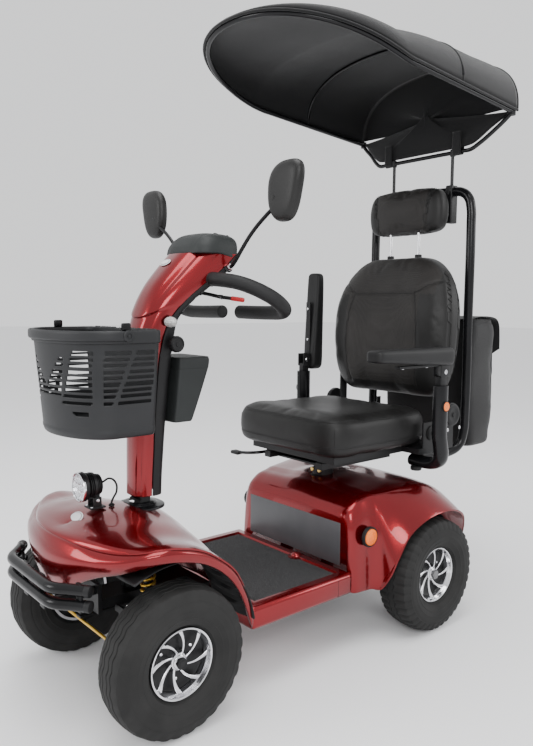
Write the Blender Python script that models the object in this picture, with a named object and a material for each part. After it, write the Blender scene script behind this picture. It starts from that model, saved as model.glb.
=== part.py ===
"""Mobility scooter with four wheels, a tiller, a swivel seat, a basket and a sun canopy.

Metres, +Z up. Forward is -Y and the rider's left is +X. The origin is on the ground,
below the middle of the scooter's box.
"""

import math

import bmesh
import bpy
from mathutils import Matrix, Vector

# ---- driving dimensions ------------------------------------------------------
GAP = 0.0003            # between pieces that rest on each other
WALL = 0.004            # moulded covers
WHEELBASE = 0.914
FRONT_TRACK = 0.540
REAR_TRACK = 0.620
FRONT_TYRE_R = 0.180    # 14 inch tyre on a 6 inch rim
REAR_TYRE_R = 0.176
FRONT_TYRE_W = 0.104
REAR_TYRE_W = 0.118
RIM_R = 0.085
AXLE_R = 0.0085
WHEEL_SIDES = 20
BUMPER_REACH = 0.2495   # front axle to the bumper's front
BAG_REACH = 0.5695      # rear axle to the bag's back
SEAT_TOP = 0.684
SEAT_HALF = 0.253
PAN_TOP = 0.232
PAN_BOTTOM = 0.168
MAT_THICK = 0.007
STEER_TILT = math.radians(8.0)
STEER_ARM = 0.1025
CANOPY_HALF = 0.337
TUBE_R = 0.016          # the seat's back tube
BASKET_HALF = 0.190
BASKET_TOP = 0.950
BASKET_DEPTH = 0.255

# ---- places worked out from them ---------------------------------------------
RY = (WHEELBASE + BUMPER_REACH - BAG_REACH) / 2     # rear axle
FY = RY - WHEELBASE                                 # front axle
KINGPIN_X = FRONT_TRACK / 2 - 0.065
PIVOT_Z = 0.522                                     # where the tiller tilts
PIVOT_Y = FY + 0.072
PIVOT = Vector((0, PIVOT_Y, PIVOT_Z))
STEER_AXIS = Vector((0, math.sin(STEER_TILT), math.cos(STEER_TILT)))
POST_Y = RY - 0.156                                 # seat post
BACK_Y = RY + 0.330                                 # seat back tube
ROOF_Z = 1.651                                      # canopy edge at its back
RECLINE = Vector((0, RY + 0.170, 0.655))

for old in list(bpy.data.objects):
    bpy.data.objects.remove(old, do_unlink=True)


# ---- small tools ---------------------------------------------------------------
def material(name, colour, rough, metal=0.0):
    """A plain surface colour, one for each named finish."""
    mat = bpy.data.materials.get(name) or bpy.data.materials.new(name)
    mat.use_nodes = True
    shader = mat.node_tree.nodes["Principled BSDF"]
    shader.inputs["Base Color"].default_value = (*colour, 1.0)
    shader.inputs["Roughness"].default_value = rough
    shader.inputs["Metallic"].default_value = metal
    return mat


FINISHES = {
    "red_paint": ((0.42, 0.010, 0.018), 0.2, 0.5),
    "black_steel": ((0.016, 0.016, 0.018), 0.35, 0.6),
    "black_plastic": ((0.020, 0.020, 0.022), 0.5, 0.0),
    "grey_plastic": ((0.055, 0.055, 0.060), 0.6, 0.0),
    "tyre": ((0.022, 0.022, 0.022), 0.85, 0.0),
    "alloy": ((0.72, 0.72, 0.74), 0.25, 1.0),
    "chrome": ((0.80, 0.80, 0.82), 0.08, 1.0),
    "cast_grey": ((0.30, 0.30, 0.31), 0.5, 0.9),
    "zinc": ((0.62, 0.50, 0.20), 0.35, 1.0),
    "leather": ((0.018, 0.017, 0.017), 0.5, 0.0),
    "fabric": ((0.010, 0.010, 0.012), 0.9, 0.0),
    "carpet": ((0.030, 0.030, 0.034), 0.95, 0.0),
    "orange_lens": ((0.75, 0.16, 0.02), 0.2, 0.0),
    "clear_lens": ((0.80, 0.80, 0.82), 0.1, 0.0),
}


def add(name, verts, faces, finish, origin=(0, 0, 0)):
    """One named closed mesh, with its origin at the given point."""
    origin = Vector(origin)
    mesh = bpy.data.meshes.new(name)
    mesh.from_pydata([Vector(v) - origin for v in verts], [], faces)
    tidy = bmesh.new()
    tidy.from_mesh(mesh)
    bmesh.ops.remove_doubles(tidy, verts=tidy.verts, dist=1e-6)
    bmesh.ops.recalc_face_normals(tidy, faces=tidy.faces)
    tidy.to_mesh(mesh)
    tidy.free()
    obj = bpy.data.objects.new(name, mesh)
    obj.location = origin
    colour, rough, metal = FINISHES[finish]
    mesh.materials.append(material(finish, colour, rough, metal))
    bpy.context.scene.collection.objects.link(obj)
    return obj


def loft(name, rings, finish, origin=(0, 0, 0), closed=False):
    """Skins rings that have the same number of points; the two ends are capped."""
    count = len(rings[0])
    verts = [p for ring in rings for p in ring]
    faces = []
    last = len(rings) if closed else len(rings) - 1
    for i in range(last):
        here, there = i * count, (i + 1) % len(rings) * count
        for k in range(count):
            m = (k + 1) % count
            faces.append((here + k, here + m, there + m, there + k))
    if not closed:
        faces.append(tuple(range(count)))
        faces.append(tuple(range((len(rings) - 1) * count, len(rings) * count)))
    return add(name, verts, faces, finish, origin)


def box(name, low, high, finish, origin=(0, 0, 0)):
    """A block between two corners."""
    (x0, y0, z0), (x1, y1, z1) = low, high
    rings = [[(x0, y0, z), (x1, y0, z), (x1, y1, z), (x0, y1, z)] for z in (z0, z1)]
    return loft(name, rings, finish, origin)


def smooth_path(points, steps):
    """Points read from a smooth curve through the given ones."""
    points = [Vector(p) for p in points]
    ends = [2 * points[0] - points[1]] + points + [2 * points[-1] - points[-2]]
    out = []
    for a, b, c, d in zip(ends, ends[1:], ends[2:], ends[3:]):
        for i in range(steps):
            t = i / steps
            out.append(
                0.5 * (2 * b + (c - a) * t + (2 * a - 5 * b + 4 * c - d) * t**2
                       + (3 * b - a - 3 * c + d) * t**3)
            )
    return out + [points[-1]]


def tube(name, path, radius, sides, finish, origin=(0, 0, 0), flat=1.0, side=(0, 0, 1)):
    """A rod along a path. Its section is drawn out by flat along the side direction."""
    path = [Vector(p) for p in path]
    rings = []
    for i, p in enumerate(path):
        along = (path[min(i + 1, len(path) - 1)] - path[max(i - 1, 0)]).normalized()
        if i == 0:
            lead = Vector(side) - along * along.dot(Vector(side))
            if lead.length < 0.1:
                lead = along.orthogonal()
        lead = (lead - along * along.dot(lead)).normalized()
        other = along.cross(lead)
        ring = []
        for k in range(sides):
            a = 2 * math.pi * (k + 0.5) / sides
            ring.append(p + lead * (radius * flat * math.cos(a)) + other * (radius * math.sin(a)))
        rings.append(ring)
    return loft(name, rings, finish, origin)


def turned(name, centre, axis, profile, sides, finish, origin=None, ring=False):
    """A profile of (along, radius) turned about an axis; ring closes it on itself."""
    axis = Vector(axis).normalized()
    lead = axis.orthogonal().normalized()
    if abs(axis.x) > 0.9:
        lead = Vector((0, 0, -1))
    other = axis.cross(lead)
    centre = Vector(centre)
    rings = []
    for along, radius in profile:
        circle = []
        for k in range(sides):
            a = 2 * math.pi * (k + 0.5) / sides
            out = lead * math.cos(a) + other * math.sin(a)
            circle.append(centre + axis * along + out * radius)
        rings.append(circle)
    return loft(name, rings, finish, centre if origin is None else origin, closed=ring)


def rod(name, a, b, radius, sides, finish, origin=None):
    """A plain round bar from a to b."""
    a, b = Vector(a), Vector(b)
    length = (b - a).length
    return turned(name, a, b - a, [(0, radius), (length, radius)], sides, finish, origin)


def combine(target, operation, others, solver="EXACT"):
    """Adds or cuts the other shapes, which are then only guides."""
    for other in others:
        step = target.modifiers.new(other.name, "BOOLEAN")
        step.operation = operation
        step.solver = solver
        step.object = other
        other.hide_render = True
        other.display_type = "WIRE"
    return target


def join(target, *others):
    return combine(target, "UNION", others)


def cut(target, *others):
    return combine(target, "DIFFERENCE", others)


def rounded(half_x, half_y, corner, centre_x, centre_y, z, lean=0.0):
    """A level rectangle with cut corners; lean lifts its back edge."""
    ring = []
    for sx, sy, first in ((1, -1, 1), (1, 1, 0), (-1, 1, 1), (-1, -1, 0)):
        along_x = (sx * (half_x - corner), sy * half_y)
        along_y = (sx * half_x, sy * (half_y - corner))
        for x, y in (along_x, along_y) if first else (along_y, along_x):
            ring.append((centre_x + x, centre_y + y, z + lean * y))
    return ring


# ---- steel frame, floor and running gear ----------------------------------------
RAIL_X, RAIL_W, RAIL_TOP = 0.100, 0.015, PAN_BOTTOM - 0.003
RAIL_BOTTOM = RAIL_TOP - 0.040
RAIL_FRONT, RAIL_BACK = FY + 0.190, RY - 0.045
NOSE_BAR_Y = FY - 0.086
SUB_BOTTOM, SUB_TOP = 0.240, 0.265
ARM_X, ARM_Z = 0.0605, 0.205
TOWER_Z = 0.405


def column_point(z):
    """The steering column's axis at a height."""
    return PIVOT + STEER_AXIS * ((z - PIVOT_Z) / STEER_AXIS.z)


frame = box("main_frame", (-0.045, NOSE_BAR_Y, SUB_BOTTOM), (0.045, FY + 0.200, SUB_TOP), "black_steel")
bars = [
    box("g_plate", (-0.066, NOSE_BAR_Y - 0.004, SUB_BOTTOM), (0.066, NOSE_BAR_Y + 0.006, 0.315), "black_steel"),
    box("g_drop", (-RAIL_X - RAIL_W, FY + 0.185, RAIL_BOTTOM), (RAIL_X + RAIL_W, FY + 0.215, SUB_TOP - 0.002),
        "black_steel"),
    box("g_cross", (-RAIL_X, RY - 0.200, RAIL_BOTTOM + 0.002), (RAIL_X, RY - 0.112, RAIL_TOP - 0.002), "black_steel"),
    box("g_tower", (-0.170, FY - 0.014, TOWER_Z), (0.170, FY + 0.014, TOWER_Z + 0.012), "black_steel"),
    box("g_tie", (-0.018, FY - 0.010, TOWER_Z + 0.001), (0.018, FY + 0.060, TOWER_Z + 0.011), "black_steel"),
    rod("g_head", column_point(SUB_BOTTOM + 0.002), column_point(0.440), 0.023, 16, "black_steel"),
    rod("g_socket", (0, POST_Y, RAIL_BOTTOM + 0.004), (0, POST_Y, 0.425), 0.034, 16, "black_steel"),
]
for s in (-1, 1):
    bars.append(box(f"g_rail{s}", (s * RAIL_X - RAIL_W, RAIL_FRONT, RAIL_BOTTOM),
                    (s * RAIL_X + RAIL_W, RAIL_BACK, RAIL_TOP), "black_steel"))
    for d in (-1, 1):
        lug_y = FY + d * 0.028
        bars.append(box(f"g_lug{s}{d}", (min(s * 0.058, s * 0.086), lug_y - 0.002, ARM_Z - 0.012),
                        (max(s * 0.058, s * 0.086), lug_y + 0.002, SUB_BOTTOM), "black_steel"))
        bars.append(box(f"g_ear{s}{d}", (min(s * 0.040, s * 0.085), lug_y - 0.003, 0.2255),
                        (max(s * 0.040, s * 0.085), lug_y + 0.003, SUB_BOTTOM + 0.004), "black_steel"))
join(frame, *bars)
cut(frame, rod("g_headbore", column_point(0.2), column_point(0.5), 0.0165, 16, "black_steel"),
    rod("g_postbore", (0, POST_Y, 0.250), (0, POST_Y, 0.5), 0.0255, 16, "black_steel"))

PAN_HALF, PAN_EDGE = 0.270, 0.032
PAN_FRONT, PAN_BACK = FY + 0.2392, RY - 0.2935
pan = box("floor_pan", (-PAN_HALF, PAN_FRONT, PAN_BOTTOM), (PAN_HALF, PAN_BACK, PAN_TOP), "red_paint")
pan.modifiers.new("soft edges", "BEVEL").width = 0.008
mat_low = (-PAN_HALF + PAN_EDGE, PAN_FRONT + 0.045, PAN_TOP - 0.012)
mat_high = (PAN_HALF - PAN_EDGE, PAN_BACK - 0.030, PAN_TOP + 0.01)
cut(pan, box("g_recess", mat_low, mat_high, "red_paint"))
box("floor_mat", (mat_low[0] + 0.001, mat_low[1] + 0.001, mat_low[2] + GAP),
    (mat_high[0] - 0.001, mat_high[1] - 0.001, mat_low[2] + GAP + MAT_THICK), "carpet")

BATTERY_IN, BATTERY_OUT = 0.042, 0.225
battery = box("battery_pack", (-BATTERY_OUT, RY - 0.275, PAN_BOTTOM), (BATTERY_OUT, RY - 0.060, 0.350),
              "black_plastic")
cut(battery, box("g_between", (-BATTERY_IN, RY - 0.240, 0.1), (BATTERY_IN, RY, 0.4), "black_plastic"))

transaxle = rod("transaxle", (-0.222, RY, REAR_TYRE_R), (0.222, RY, REAR_TYRE_R), 0.028, 12, "cast_grey")
END_X = REAR_TRACK / 2 + 0.0305
drive = [
    box("g_gears", (-0.050, RY - 0.040, REAR_TYRE_R - 0.070), (0.060, RY + 0.060, REAR_TYRE_R + 0.065), "cast_grey"),
    rod("g_motor", (0.001, RY + 0.058, REAR_TYRE_R + 0.010), (0.001, RY + 0.180, REAR_TYRE_R + 0.010), 0.050, 12,
        "cast_grey"),
    rod("g_shaft", (-END_X - 0.009, RY, REAR_TYRE_R), (END_X + 0.009, RY, REAR_TYRE_R), AXLE_R, 12, "cast_grey"),
]
for s in (-1, 1):
    drive.append(rod(f"g_nut{s}", (s * END_X, RY, REAR_TYRE_R), (s * (END_X + 0.008), RY, REAR_TYRE_R), 0.0145, 6,
                     "cast_grey"))
    drive.append(box(f"g_mount{s}", (s * RAIL_X - RAIL_W, RAIL_BACK + GAP, RAIL_BOTTOM + 0.004),
                     (s * RAIL_X + RAIL_W, RY - 0.010, RAIL_TOP + 0.020), "cast_grey"))
join(transaxle, *drive)

STUB_X = FRONT_TRACK / 2 + 0.0305
ROD_Y = FY - STEER_ARM
PLATE_LOW, PLATE_HIGH = 0.2155, 0.2215
for s, side in ((1, "left"), (-1, "right")):
    def span(a, b, y0, y1, z0, z1, part):
        """A block on this side, given by its distances from the middle."""
        return box(part, (min(s * a, s * b), y0, z0), (max(s * a, s * b), y1, z1), "black_steel")

    pivot = Vector((s * ARM_X, FY, ARM_Z))
    arm = rod(f"front_arm_{side}", (s * ARM_X, FY - 0.0255, ARM_Z), (s * ARM_X, FY + 0.0255, ARM_Z), 0.012, 12,
              "black_steel", pivot)
    join(arm, span(ARM_X + 0.004, KINGPIN_X + 0.008, FY - 0.010, FY + 0.010, 0.1955, 0.2145, f"g_beam{side}"),
         span(0.140, 0.170, FY - 0.016, FY + 0.016, 0.199, 0.226, f"g_seat{side}"),
         rod(f"g_king{side}", (s * KINGPIN_X, FY, 0.166), (s * KINGPIN_X, FY, 0.252), 0.008, 12, "black_steel"))
    king = Vector((s * KINGPIN_X, FY, FRONT_TYRE_R))
    knuckle = rod(f"knuckle_{side}", king + Vector((0, 0, 0.0355)), king + Vector((0, 0, 0.066)), 0.018, 12,
                  "black_steel", king)
    join(knuckle,
         rod(f"g_low{side}", king + Vector((0, 0, -0.012)), king + Vector((0, 0, 0.015)), 0.018, 12, "black_steel"),
         span(KINGPIN_X + 0.0135, KINGPIN_X + 0.024, FY - 0.015, FY + 0.015, king.z - 0.011, king.z + 0.065,
              f"g_side{side}"),
         span(KINGPIN_X - 0.010, KINGPIN_X + 0.010, FY - STEER_ARM - 0.010, FY - 0.010, PLATE_LOW, PLATE_HIGH,
              f"g_lever{side}"),
         rod(f"g_stub{side}", (s * (KINGPIN_X + 0.020), FY, king.z), (s * (STUB_X + 0.009), FY, king.z), AXLE_R, 12,
             "black_steel"),
         rod(f"g_stubnut{side}", (s * STUB_X, FY, king.z), (s * (STUB_X + 0.008), FY, king.z), 0.0145, 6,
             "black_steel"))
    cut(knuckle, rod(f"g_bore{side}", (king.x, king.y, 0.15), (king.x, king.y, 0.27), 0.0085, 12, "black_steel"))
    # coil shock absorber between the arm and the frame's cross bar
    turned(f"shock_{side}", (s * 0.155, FY, 0.2263), (0, 0, 1),
           [(0, 0.012), (0.030, 0.012), (0.031, 0.021), (0.160, 0.021), (0.161, 0.013), (0.1783, 0.013)], 12, "zinc")

rod("tie_rod", (-KINGPIN_X, ROD_Y, PLATE_LOW - 0.010), (KINGPIN_X, ROD_Y, PLATE_LOW - 0.010), 0.006, 12, "zinc")

# ---- wheels -----------------------------------------------------------------------


def wheel(name, centre, radius, width):
    """A tyre and its rim; the flat of one tread facet faces the ground."""
    half = width / 2
    crown = radius / math.cos(math.pi / WHEEL_SIDES)
    bead = RIM_R + 0.0012
    outer = [(-0.60, bead), (-0.74, bead + 0.006), (-1.0, bead + 0.048), (-0.86, crown - 0.012), (-0.40, crown),
             (0.40, crown), (0.86, crown - 0.012), (1.0, bead + 0.048), (0.74, bead + 0.006), (0.60, bead)]
    inner = [(0.66, bead + 0.046), (0, crown - 0.018), (-0.66, bead + 0.046)]
    profile = [(a * half, r) for a, r in outer + inner]
    turned(f"{name}_tyre", centre, (1, 0, 0), profile, WHEEL_SIDES, "tyre", ring=True)
    s = 1 if centre[0] > 0 else -1
    edge = 0.040
    profile = [(-0.030, AXLE_R + 0.0008), (-0.028, 0.024), (-0.006, 0.028), (-0.006, 0.073), (-edge, 0.079),
               (-edge, RIM_R), (edge, RIM_R), (edge, 0.080), (0.008, 0.073), (0.008, 0.028), (0.028, 0.024),
               (0.030, AXLE_R + 0.0008)]
    profile = [(a * s, r) for a, r in profile]
    turned(f"{name}_rim", centre, (1, 0, 0), profile, WHEEL_SIDES, "alloy", ring=True)


for s, side in ((1, "left"), (-1, "right")):
    wheel(f"front_{side}", (s * FRONT_TRACK / 2, FY, FRONT_TYRE_R), FRONT_TYRE_R, FRONT_TYRE_W)
    wheel(f"rear_{side}", (s * REAR_TRACK / 2, RY, REAR_TYRE_R), REAR_TYRE_R, REAR_TYRE_W)

# ---- front body: lower fender shell and hood ----------------------------------------
# outer half width, distance behind the axle, lip height, seam height, and the hood's
# middle line (distance behind the axle, height) that each place on the seam rises to
FRONT_LINES = [
    (0.272, 0.238, 0.183, 0.236, 0.259, 0.240),
    (0.285, 0.202, 0.262, 0.305, 0.242, 0.300),
    (0.297, 0.164, 0.322, 0.362, 0.214, 0.360),
    (0.306, 0.114, 0.372, 0.405, 0.179, 0.410),
    (0.312, 0.054, 0.408, 0.442, 0.124, 0.450),
    (0.314, -0.016, 0.428, 0.463, 0.054, 0.474),
    (0.300, -0.060, 0.428, 0.463, 0.000, 0.482),
    (0.272, -0.094, 0.416, 0.456, -0.036, 0.482),
    (0.232, -0.120, 0.400, 0.450, -0.064, 0.480),
    (0.180, -0.145, 0.384, 0.449, -0.090, 0.477),
    (0.120, -0.167, 0.358, 0.452, -0.112, 0.472),
    (0.060, -0.180, 0.330, 0.455, -0.128, 0.468),
    (0.000, -0.185, 0.315, 0.456, -0.136, 0.466),
]
HOOD_STEPS = 5


def skin(name, verts, faces, finish, thickness=WALL):
    """An open sheet given a wall on its inner side."""
    obj = add(name, verts, faces, finish)
    wall = obj.modifiers.new("wall", "SOLIDIFY")
    wall.thickness = thickness
    wall.offset = -1.0
    wall.use_even_offset = False
    return obj


around = [(x, y, lip, seam) for x, y, lip, seam, _, _ in FRONT_LINES]
around += [(-x, y, lip, seam) for x, y, lip, seam in around[-2::-1]]
verts, faces = [], []
for x, y, lip, seam in around:
    bulge = 0.020 * max(0.0, min(1.0, -y / 0.14))
    verts += [(x, FY + y, lip), (x * 1.015, FY + y - bulge, lip * 0.45 + seam * 0.55),
              (x, FY + y, seam - WALL - 0.0012 - 0.030 * max(0.0, 0.39 - seam))]
for i in range(len(around) - 1):
    for k in range(2):
        a = 3 * i + k
        faces.append((a, a + 3, a + 4, a + 1))
fender = skin("front_fender", verts, faces, "red_paint")

verts, faces = [], []
for flip in (1, -1):
    first = len(verts)
    for x, y, _, seam, mid_y, mid_z in FRONT_LINES:
        for j in range(HOOD_STEPS + 1):
            t = j / HOOD_STEPS
            rise = (1 - (1 - t) ** 2.4) ** (1 / 2.4)
            verts.append((flip * x * (1 - t), FY + y + (mid_y - y) * t, seam + (mid_z - seam) * rise))
    for i in range(len(FRONT_LINES) - 1):
        for j in range(HOOD_STEPS):
            a = first + i * (HOOD_STEPS + 1) + j
            quad = (a, a + 1, a + HOOD_STEPS + 2, a + HOOD_STEPS + 1)
            faces.append(quad if flip > 0 else quad[::-1])
hood = skin("front_hood", verts, faces, "red_paint")
cut(hood, rod("g_hoodhole", column_point(0.40), column_point(0.55), 0.045, 16, "red_paint"))

BOOT = column_point(0.475)
boot_rings = [rounded(0.062 * k, 0.066 * k, 0.024 * k, 0, BOOT.y, z, -0.25)
              for z, k in ((0.4735, 1.0), (0.4785, 0.95), (0.4810, 0.80))]
boot = loft("tiller_boot", boot_rings, "black_plastic")
cut(boot, rod("g_boothole", column_point(0.40), column_point(0.55), 0.0165, 16, "black_plastic"))

# front bumper: two bent tubes on two brackets bolted to the frame's nose plate
BUMPER_R = 0.0135
BUMPER_Y = FY - BUMPER_REACH + BUMPER_R * math.cos(math.pi / 8)
BUMPER_Z = 0.366


def bumper_path(z):
    """Straight across the nose, bent back on both sides."""
    half = [(0.199, BUMPER_Y + 0.060, z), (0.165, BUMPER_Y + 0.036, z), (0.140, BUMPER_Y + 0.014, z),
            (0.118, BUMPER_Y + 0.003, z), (0.090, BUMPER_Y, z)]
    return half + [(-x, y, z) for x, y, z in half[::-1]]


bumper = tube("front_bumper", bumper_path(BUMPER_Z), BUMPER_R, 8, "black_steel")
extra = [tube("g_lower", bumper_path(BUMPER_Z - 0.036), BUMPER_R, 8, "black_steel")]
for s in (-1, 1):
    extra.append(box(f"g_foot{s}", (s * 0.050 - 0.008, BUMPER_Y + 0.004, 0.288),
                     (s * 0.050 + 0.008, NOSE_BAR_Y - 0.004 - GAP, 0.308), "black_steel"))
    extra.append(box(f"g_up{s}", (s * 0.050 - 0.008, BUMPER_Y + 0.002, 0.288),
                     (s * 0.050 + 0.008, BUMPER_Y + 0.012, BUMPER_Z + 0.003), "black_steel"))
join(bumper, *extra)

# ---- rear body shell ------------------------------------------------------------------
# distance behind the rear axle, half width at the lip, lip height, deck half width, deck height
SHROUD_LINES = [
    (-0.292, 0.262, 0.168, 0.236, 0.388),
    (-0.268, 0.268, 0.168, 0.240, 0.425),
    (-0.215, 0.272, 0.168, 0.244, 0.440),
    (-0.194, 0.318, 0.170, 0.248, 0.444),
    (-0.168, 0.336, 0.268, 0.252, 0.447),
    (-0.125, 0.346, 0.330, 0.256, 0.450),
    (-0.050, 0.353, 0.366, 0.262, 0.455),
    (0.030, 0.354, 0.374, 0.262, 0.452),
    (0.100, 0.350, 0.362, 0.254, 0.428),
    (0.160, 0.334, 0.332, 0.240, 0.392),
    (0.210, 0.304, 0.278, 0.220, 0.350),
    (0.246, 0.270, 0.220, 0.200, 0.300),
    (0.262, 0.250, 0.210, 0.180, 0.262),
]
verts, faces = [], []
for y, lip_x, lip, deck_x, deck in SHROUD_LINES:
    left = [(lip_x, lip), (lip_x * 0.5 + deck_x * 0.5 + 0.010, lip + (deck - lip) * 0.45),
            (deck_x + 0.014, lip + (deck - lip) * 0.80), (deck_x - 0.010, deck - 0.006), (deck_x * 0.55, deck)]
    ring = left + [(-x, z) for x, z in left[::-1]]
    verts += [(x, RY + y, z) for x, z in ring]
count = 10
for i in range(len(SHROUD_LINES) - 1):
    for k in range(count - 1):
        a = i * count + k
        faces.append((a, a + 1, a + count + 1, a + count))
faces.append(tuple(range(count)))
faces.append(tuple(range((len(SHROUD_LINES) - 1) * count, len(SHROUD_LINES) * count)))
shroud = skin("rear_shroud", verts, faces, "red_paint")
cut(shroud, rod("g_posthole", (0, POST_Y, 0.40), (0, POST_Y, 0.50), 0.036, 16, "red_paint"))

for s, side in ((1, "left"), (-1, "right")):
    turned(f"side_reflector_{side}", (s * 0.2775, RY - 0.235, 0.330), (s, 0, 0),
           [(0, 0.030), (0.007, 0.030), (0.012, 0.022)], 16, "orange_lens")

# ---- seat base ------------------------------------------------------------------------
post = rod("seat_post", (0, POST_Y, 0.256), (0, POST_Y, 0.494), 0.0245, 16, "cast_grey")
join(post, turned("g_cast", (0, POST_Y, 0.488), (0, 0, 1), [(0, 0.040), (0.010, 0.050), (0.0215, 0.050)], 16,
                  "cast_grey"))
RAILS_LOW, RAILS_HIGH = 0.510, 0.532
SLIDE = 0.060
swivel = (0, POST_Y, RAILS_LOW)
rails = box("seat_rails", (-0.110, POST_Y - 0.100, RAILS_LOW), (0.110, POST_Y + 0.100, RAILS_LOW + 0.006),
            "black_steel", swivel)
join(rails, *[box(f"g_slide{s}", (s * 0.120 - 0.014, POST_Y - 0.140, RAILS_LOW + 0.001),
                  (s * 0.120 + 0.014, POST_Y + 0.180, RAILS_HIGH), "black_steel") for s in (-1, 1)])
FRAME_LOW = RAILS_HIGH + GAP
FRAME_HIGH = 0.560
seat_frame = box("seat_frame", (-0.190, RY - 0.300, FRAME_LOW + 0.006), (0.190, RY + 0.150, FRAME_HIGH), "black_steel")
side_plates = []
for s in (-1, 1):
    side_plates += [
        box(f"g_skid{s}", (s * 0.120 - 0.012, RY - 0.290, FRAME_LOW), (s * 0.120 + 0.012, RY + 0.140, FRAME_LOW + 0.010),
            "black_steel"),
        box(f"g_wing{s}", (min(s * 0.180, s * 0.2625), RY + 0.010, FRAME_LOW + 0.008),
            (max(s * 0.180, s * 0.2625), RY + 0.140, FRAME_HIGH - 0.002), "black_steel"),
        box(f"g_plate{s}", (min(s * 0.2560, s * 0.2625), RY + 0.030, FRAME_LOW + 0.010),
            (max(s * 0.2560, s * 0.2625), RY + 0.190, 0.640), "black_steel"),
        turned(f"g_disc{s}", (s * 0.2560, RECLINE.y, RECLINE.z), (s, 0, 0), [(0, 0.040), (0.014, 0.040), (0.018, 0.030)],
               16, "black_steel"),
    ]
join(seat_frame, *side_plates)

LEVER = Vector((-0.150, RY - 0.310, 0.522))
LEVER_PIN = LEVER + Vector((0, 0.050, 0))
path = [LEVER_PIN, LEVER, LEVER + Vector((-0.030, -0.020, -0.004)), LEVER + Vector((-0.075, -0.026, -0.008))]
lever = tube("seat_lever", path, 0.006, 8, "black_steel", LEVER_PIN)
join(lever, box("g_paddle", LEVER + Vector((-0.105, -0.036, -0.018)), LEVER + Vector((-0.070, -0.016, -0.002)),
                "black_plastic"))

cushion_rings = [rounded(SEAT_HALF * kx, 0.240 * ky, 0.050, 0, RY - 0.123 + dy, z, lean)
                 for kx, ky, dy, z, lean in
                 ((0.90, 0.93, 0, FRAME_HIGH + 0.002, 0), (1.0, 1.0, 0, 0.585, 0), (1.0, 1.0, 0, 0.655, -0.02),
                  (0.93, 0.95, 0, SEAT_TOP - 0.004, -0.04))]
loft("seat_cushion", cushion_rings, "leather")

# ---- backrest, headrest, armrests -----------------------------------------------------
# height, half width, front and back distance behind the rear axle
BACK_LINES = [
    (0.700, 0.200, 0.150, 0.235),
    (0.760, 0.246, 0.125, 0.252),
    (0.880, 0.268, 0.110, 0.268),
    (0.980, 0.268, 0.114, 0.276),
    (1.080, 0.240, 0.140, 0.283),
    (1.150, 0.196, 0.165, 0.284),
    (1.190, 0.140, 0.195, 0.275),
]
rings = [rounded(half, (rear - front) / 2, 0.035, 0, RY + (front + rear) / 2, z)
         for z, half, front, rear in BACK_LINES]
backrest = loft("backrest", rings, "leather", RECLINE)
join(backrest, *[box(f"g_hinge{s}", (s * 0.225 - 0.010, RECLINE.y - 0.012, RECLINE.z - 0.015),
                     (s * 0.225 + 0.010, RECLINE.y + 0.022, 0.780), "black_steel") for s in (-1, 1)])
HEAD_X, HEAD_Y = 0.062, RY + 0.240
cut(backrest, *[box(f"g_slot{s}", (s * HEAD_X - 0.0062, HEAD_Y - 0.0062, 1.060),
                    (s * HEAD_X + 0.0062, HEAD_Y + 0.0062, 1.3), "leather") for s in (-1, 1)])
HEAD_LINES = ((1.262, 0.130, 0.032), (1.285, 0.158, 0.044), (1.350, 0.168, 0.050), (1.400, 0.152, 0.044),
              (1.422, 0.120, 0.028))
rings = [rounded(half, deep, 0.022, 0, RY + 0.255, z) for z, half, deep in HEAD_LINES]
headrest = loft("headrest", rings, "leather")
join(headrest, *[rod(f"g_chrome{s}", (s * HEAD_X, HEAD_Y, 1.075), (s * HEAD_X, HEAD_Y, 1.300), 0.0055, 8, "chrome")
                 for s in (-1, 1)])

ARM_PIVOT_Z = 0.808
UPRIGHT_X = 0.312
PAD_LENGTH = 0.365
for s, side in ((1, "left"), (-1, "right")):
    path = [(s * 0.195, RY + 0.070, 0.508), (s * 0.250, RY + 0.066, 0.506), (s * 0.290, RY + 0.058, 0.514),
            (s * UPRIGHT_X, RY + 0.050, 0.540), (s * UPRIGHT_X, RY + 0.045, 0.600),
            (s * UPRIGHT_X, RY + 0.046, ARM_PIVOT_Z - 0.028)]
    upright = tube(f"arm_upright_{side}", smooth_path(path, 3), 0.017, 8, "black_steel", flat=1.45, side=(0, 1, 0))
    pivot = Vector((s * UPRIGHT_X, RY + 0.046, ARM_PIVOT_Z))
    join(upright, box(f"g_tab{side}", (s * 0.200 - 0.018, RY + 0.050, 0.505), (s * 0.200 + 0.018, RY + 0.090,
                      FRAME_LOW + 0.006 - GAP), "black_steel"))
    pad_box = [rounded(0.029 * k, PAD_LENGTH / 2 * (0.8 + 0.2 * k), 0.010, pivot.x,
                       pivot.y + 0.040 - PAD_LENGTH / 2, pivot.z + z)
               for z, k in ((0.026, 0.85), (0.038, 1.0), (0.066, 1.0), (0.078, 0.8))]
    pad = loft(f"armrest_{side}", pad_box, "black_plastic", pivot)
    join(pad, box(f"g_ear{side}", (pivot.x - 0.012, pivot.y - 0.020, pivot.z - 0.013),
                  (pivot.x + 0.012, pivot.y + 0.022, pivot.z + 0.030), "black_plastic"))
    if s < 0:
        turn = Matrix.Rotation(math.radians(-90), 4, "X")
        for obj in [pad, bpy.data.objects[f"g_ear{side}"]]:
            shift = Matrix.Translation(pivot)
            obj.matrix_world = shift @ turn @ shift.inverted() @ Matrix.Translation(obj.location)

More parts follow.
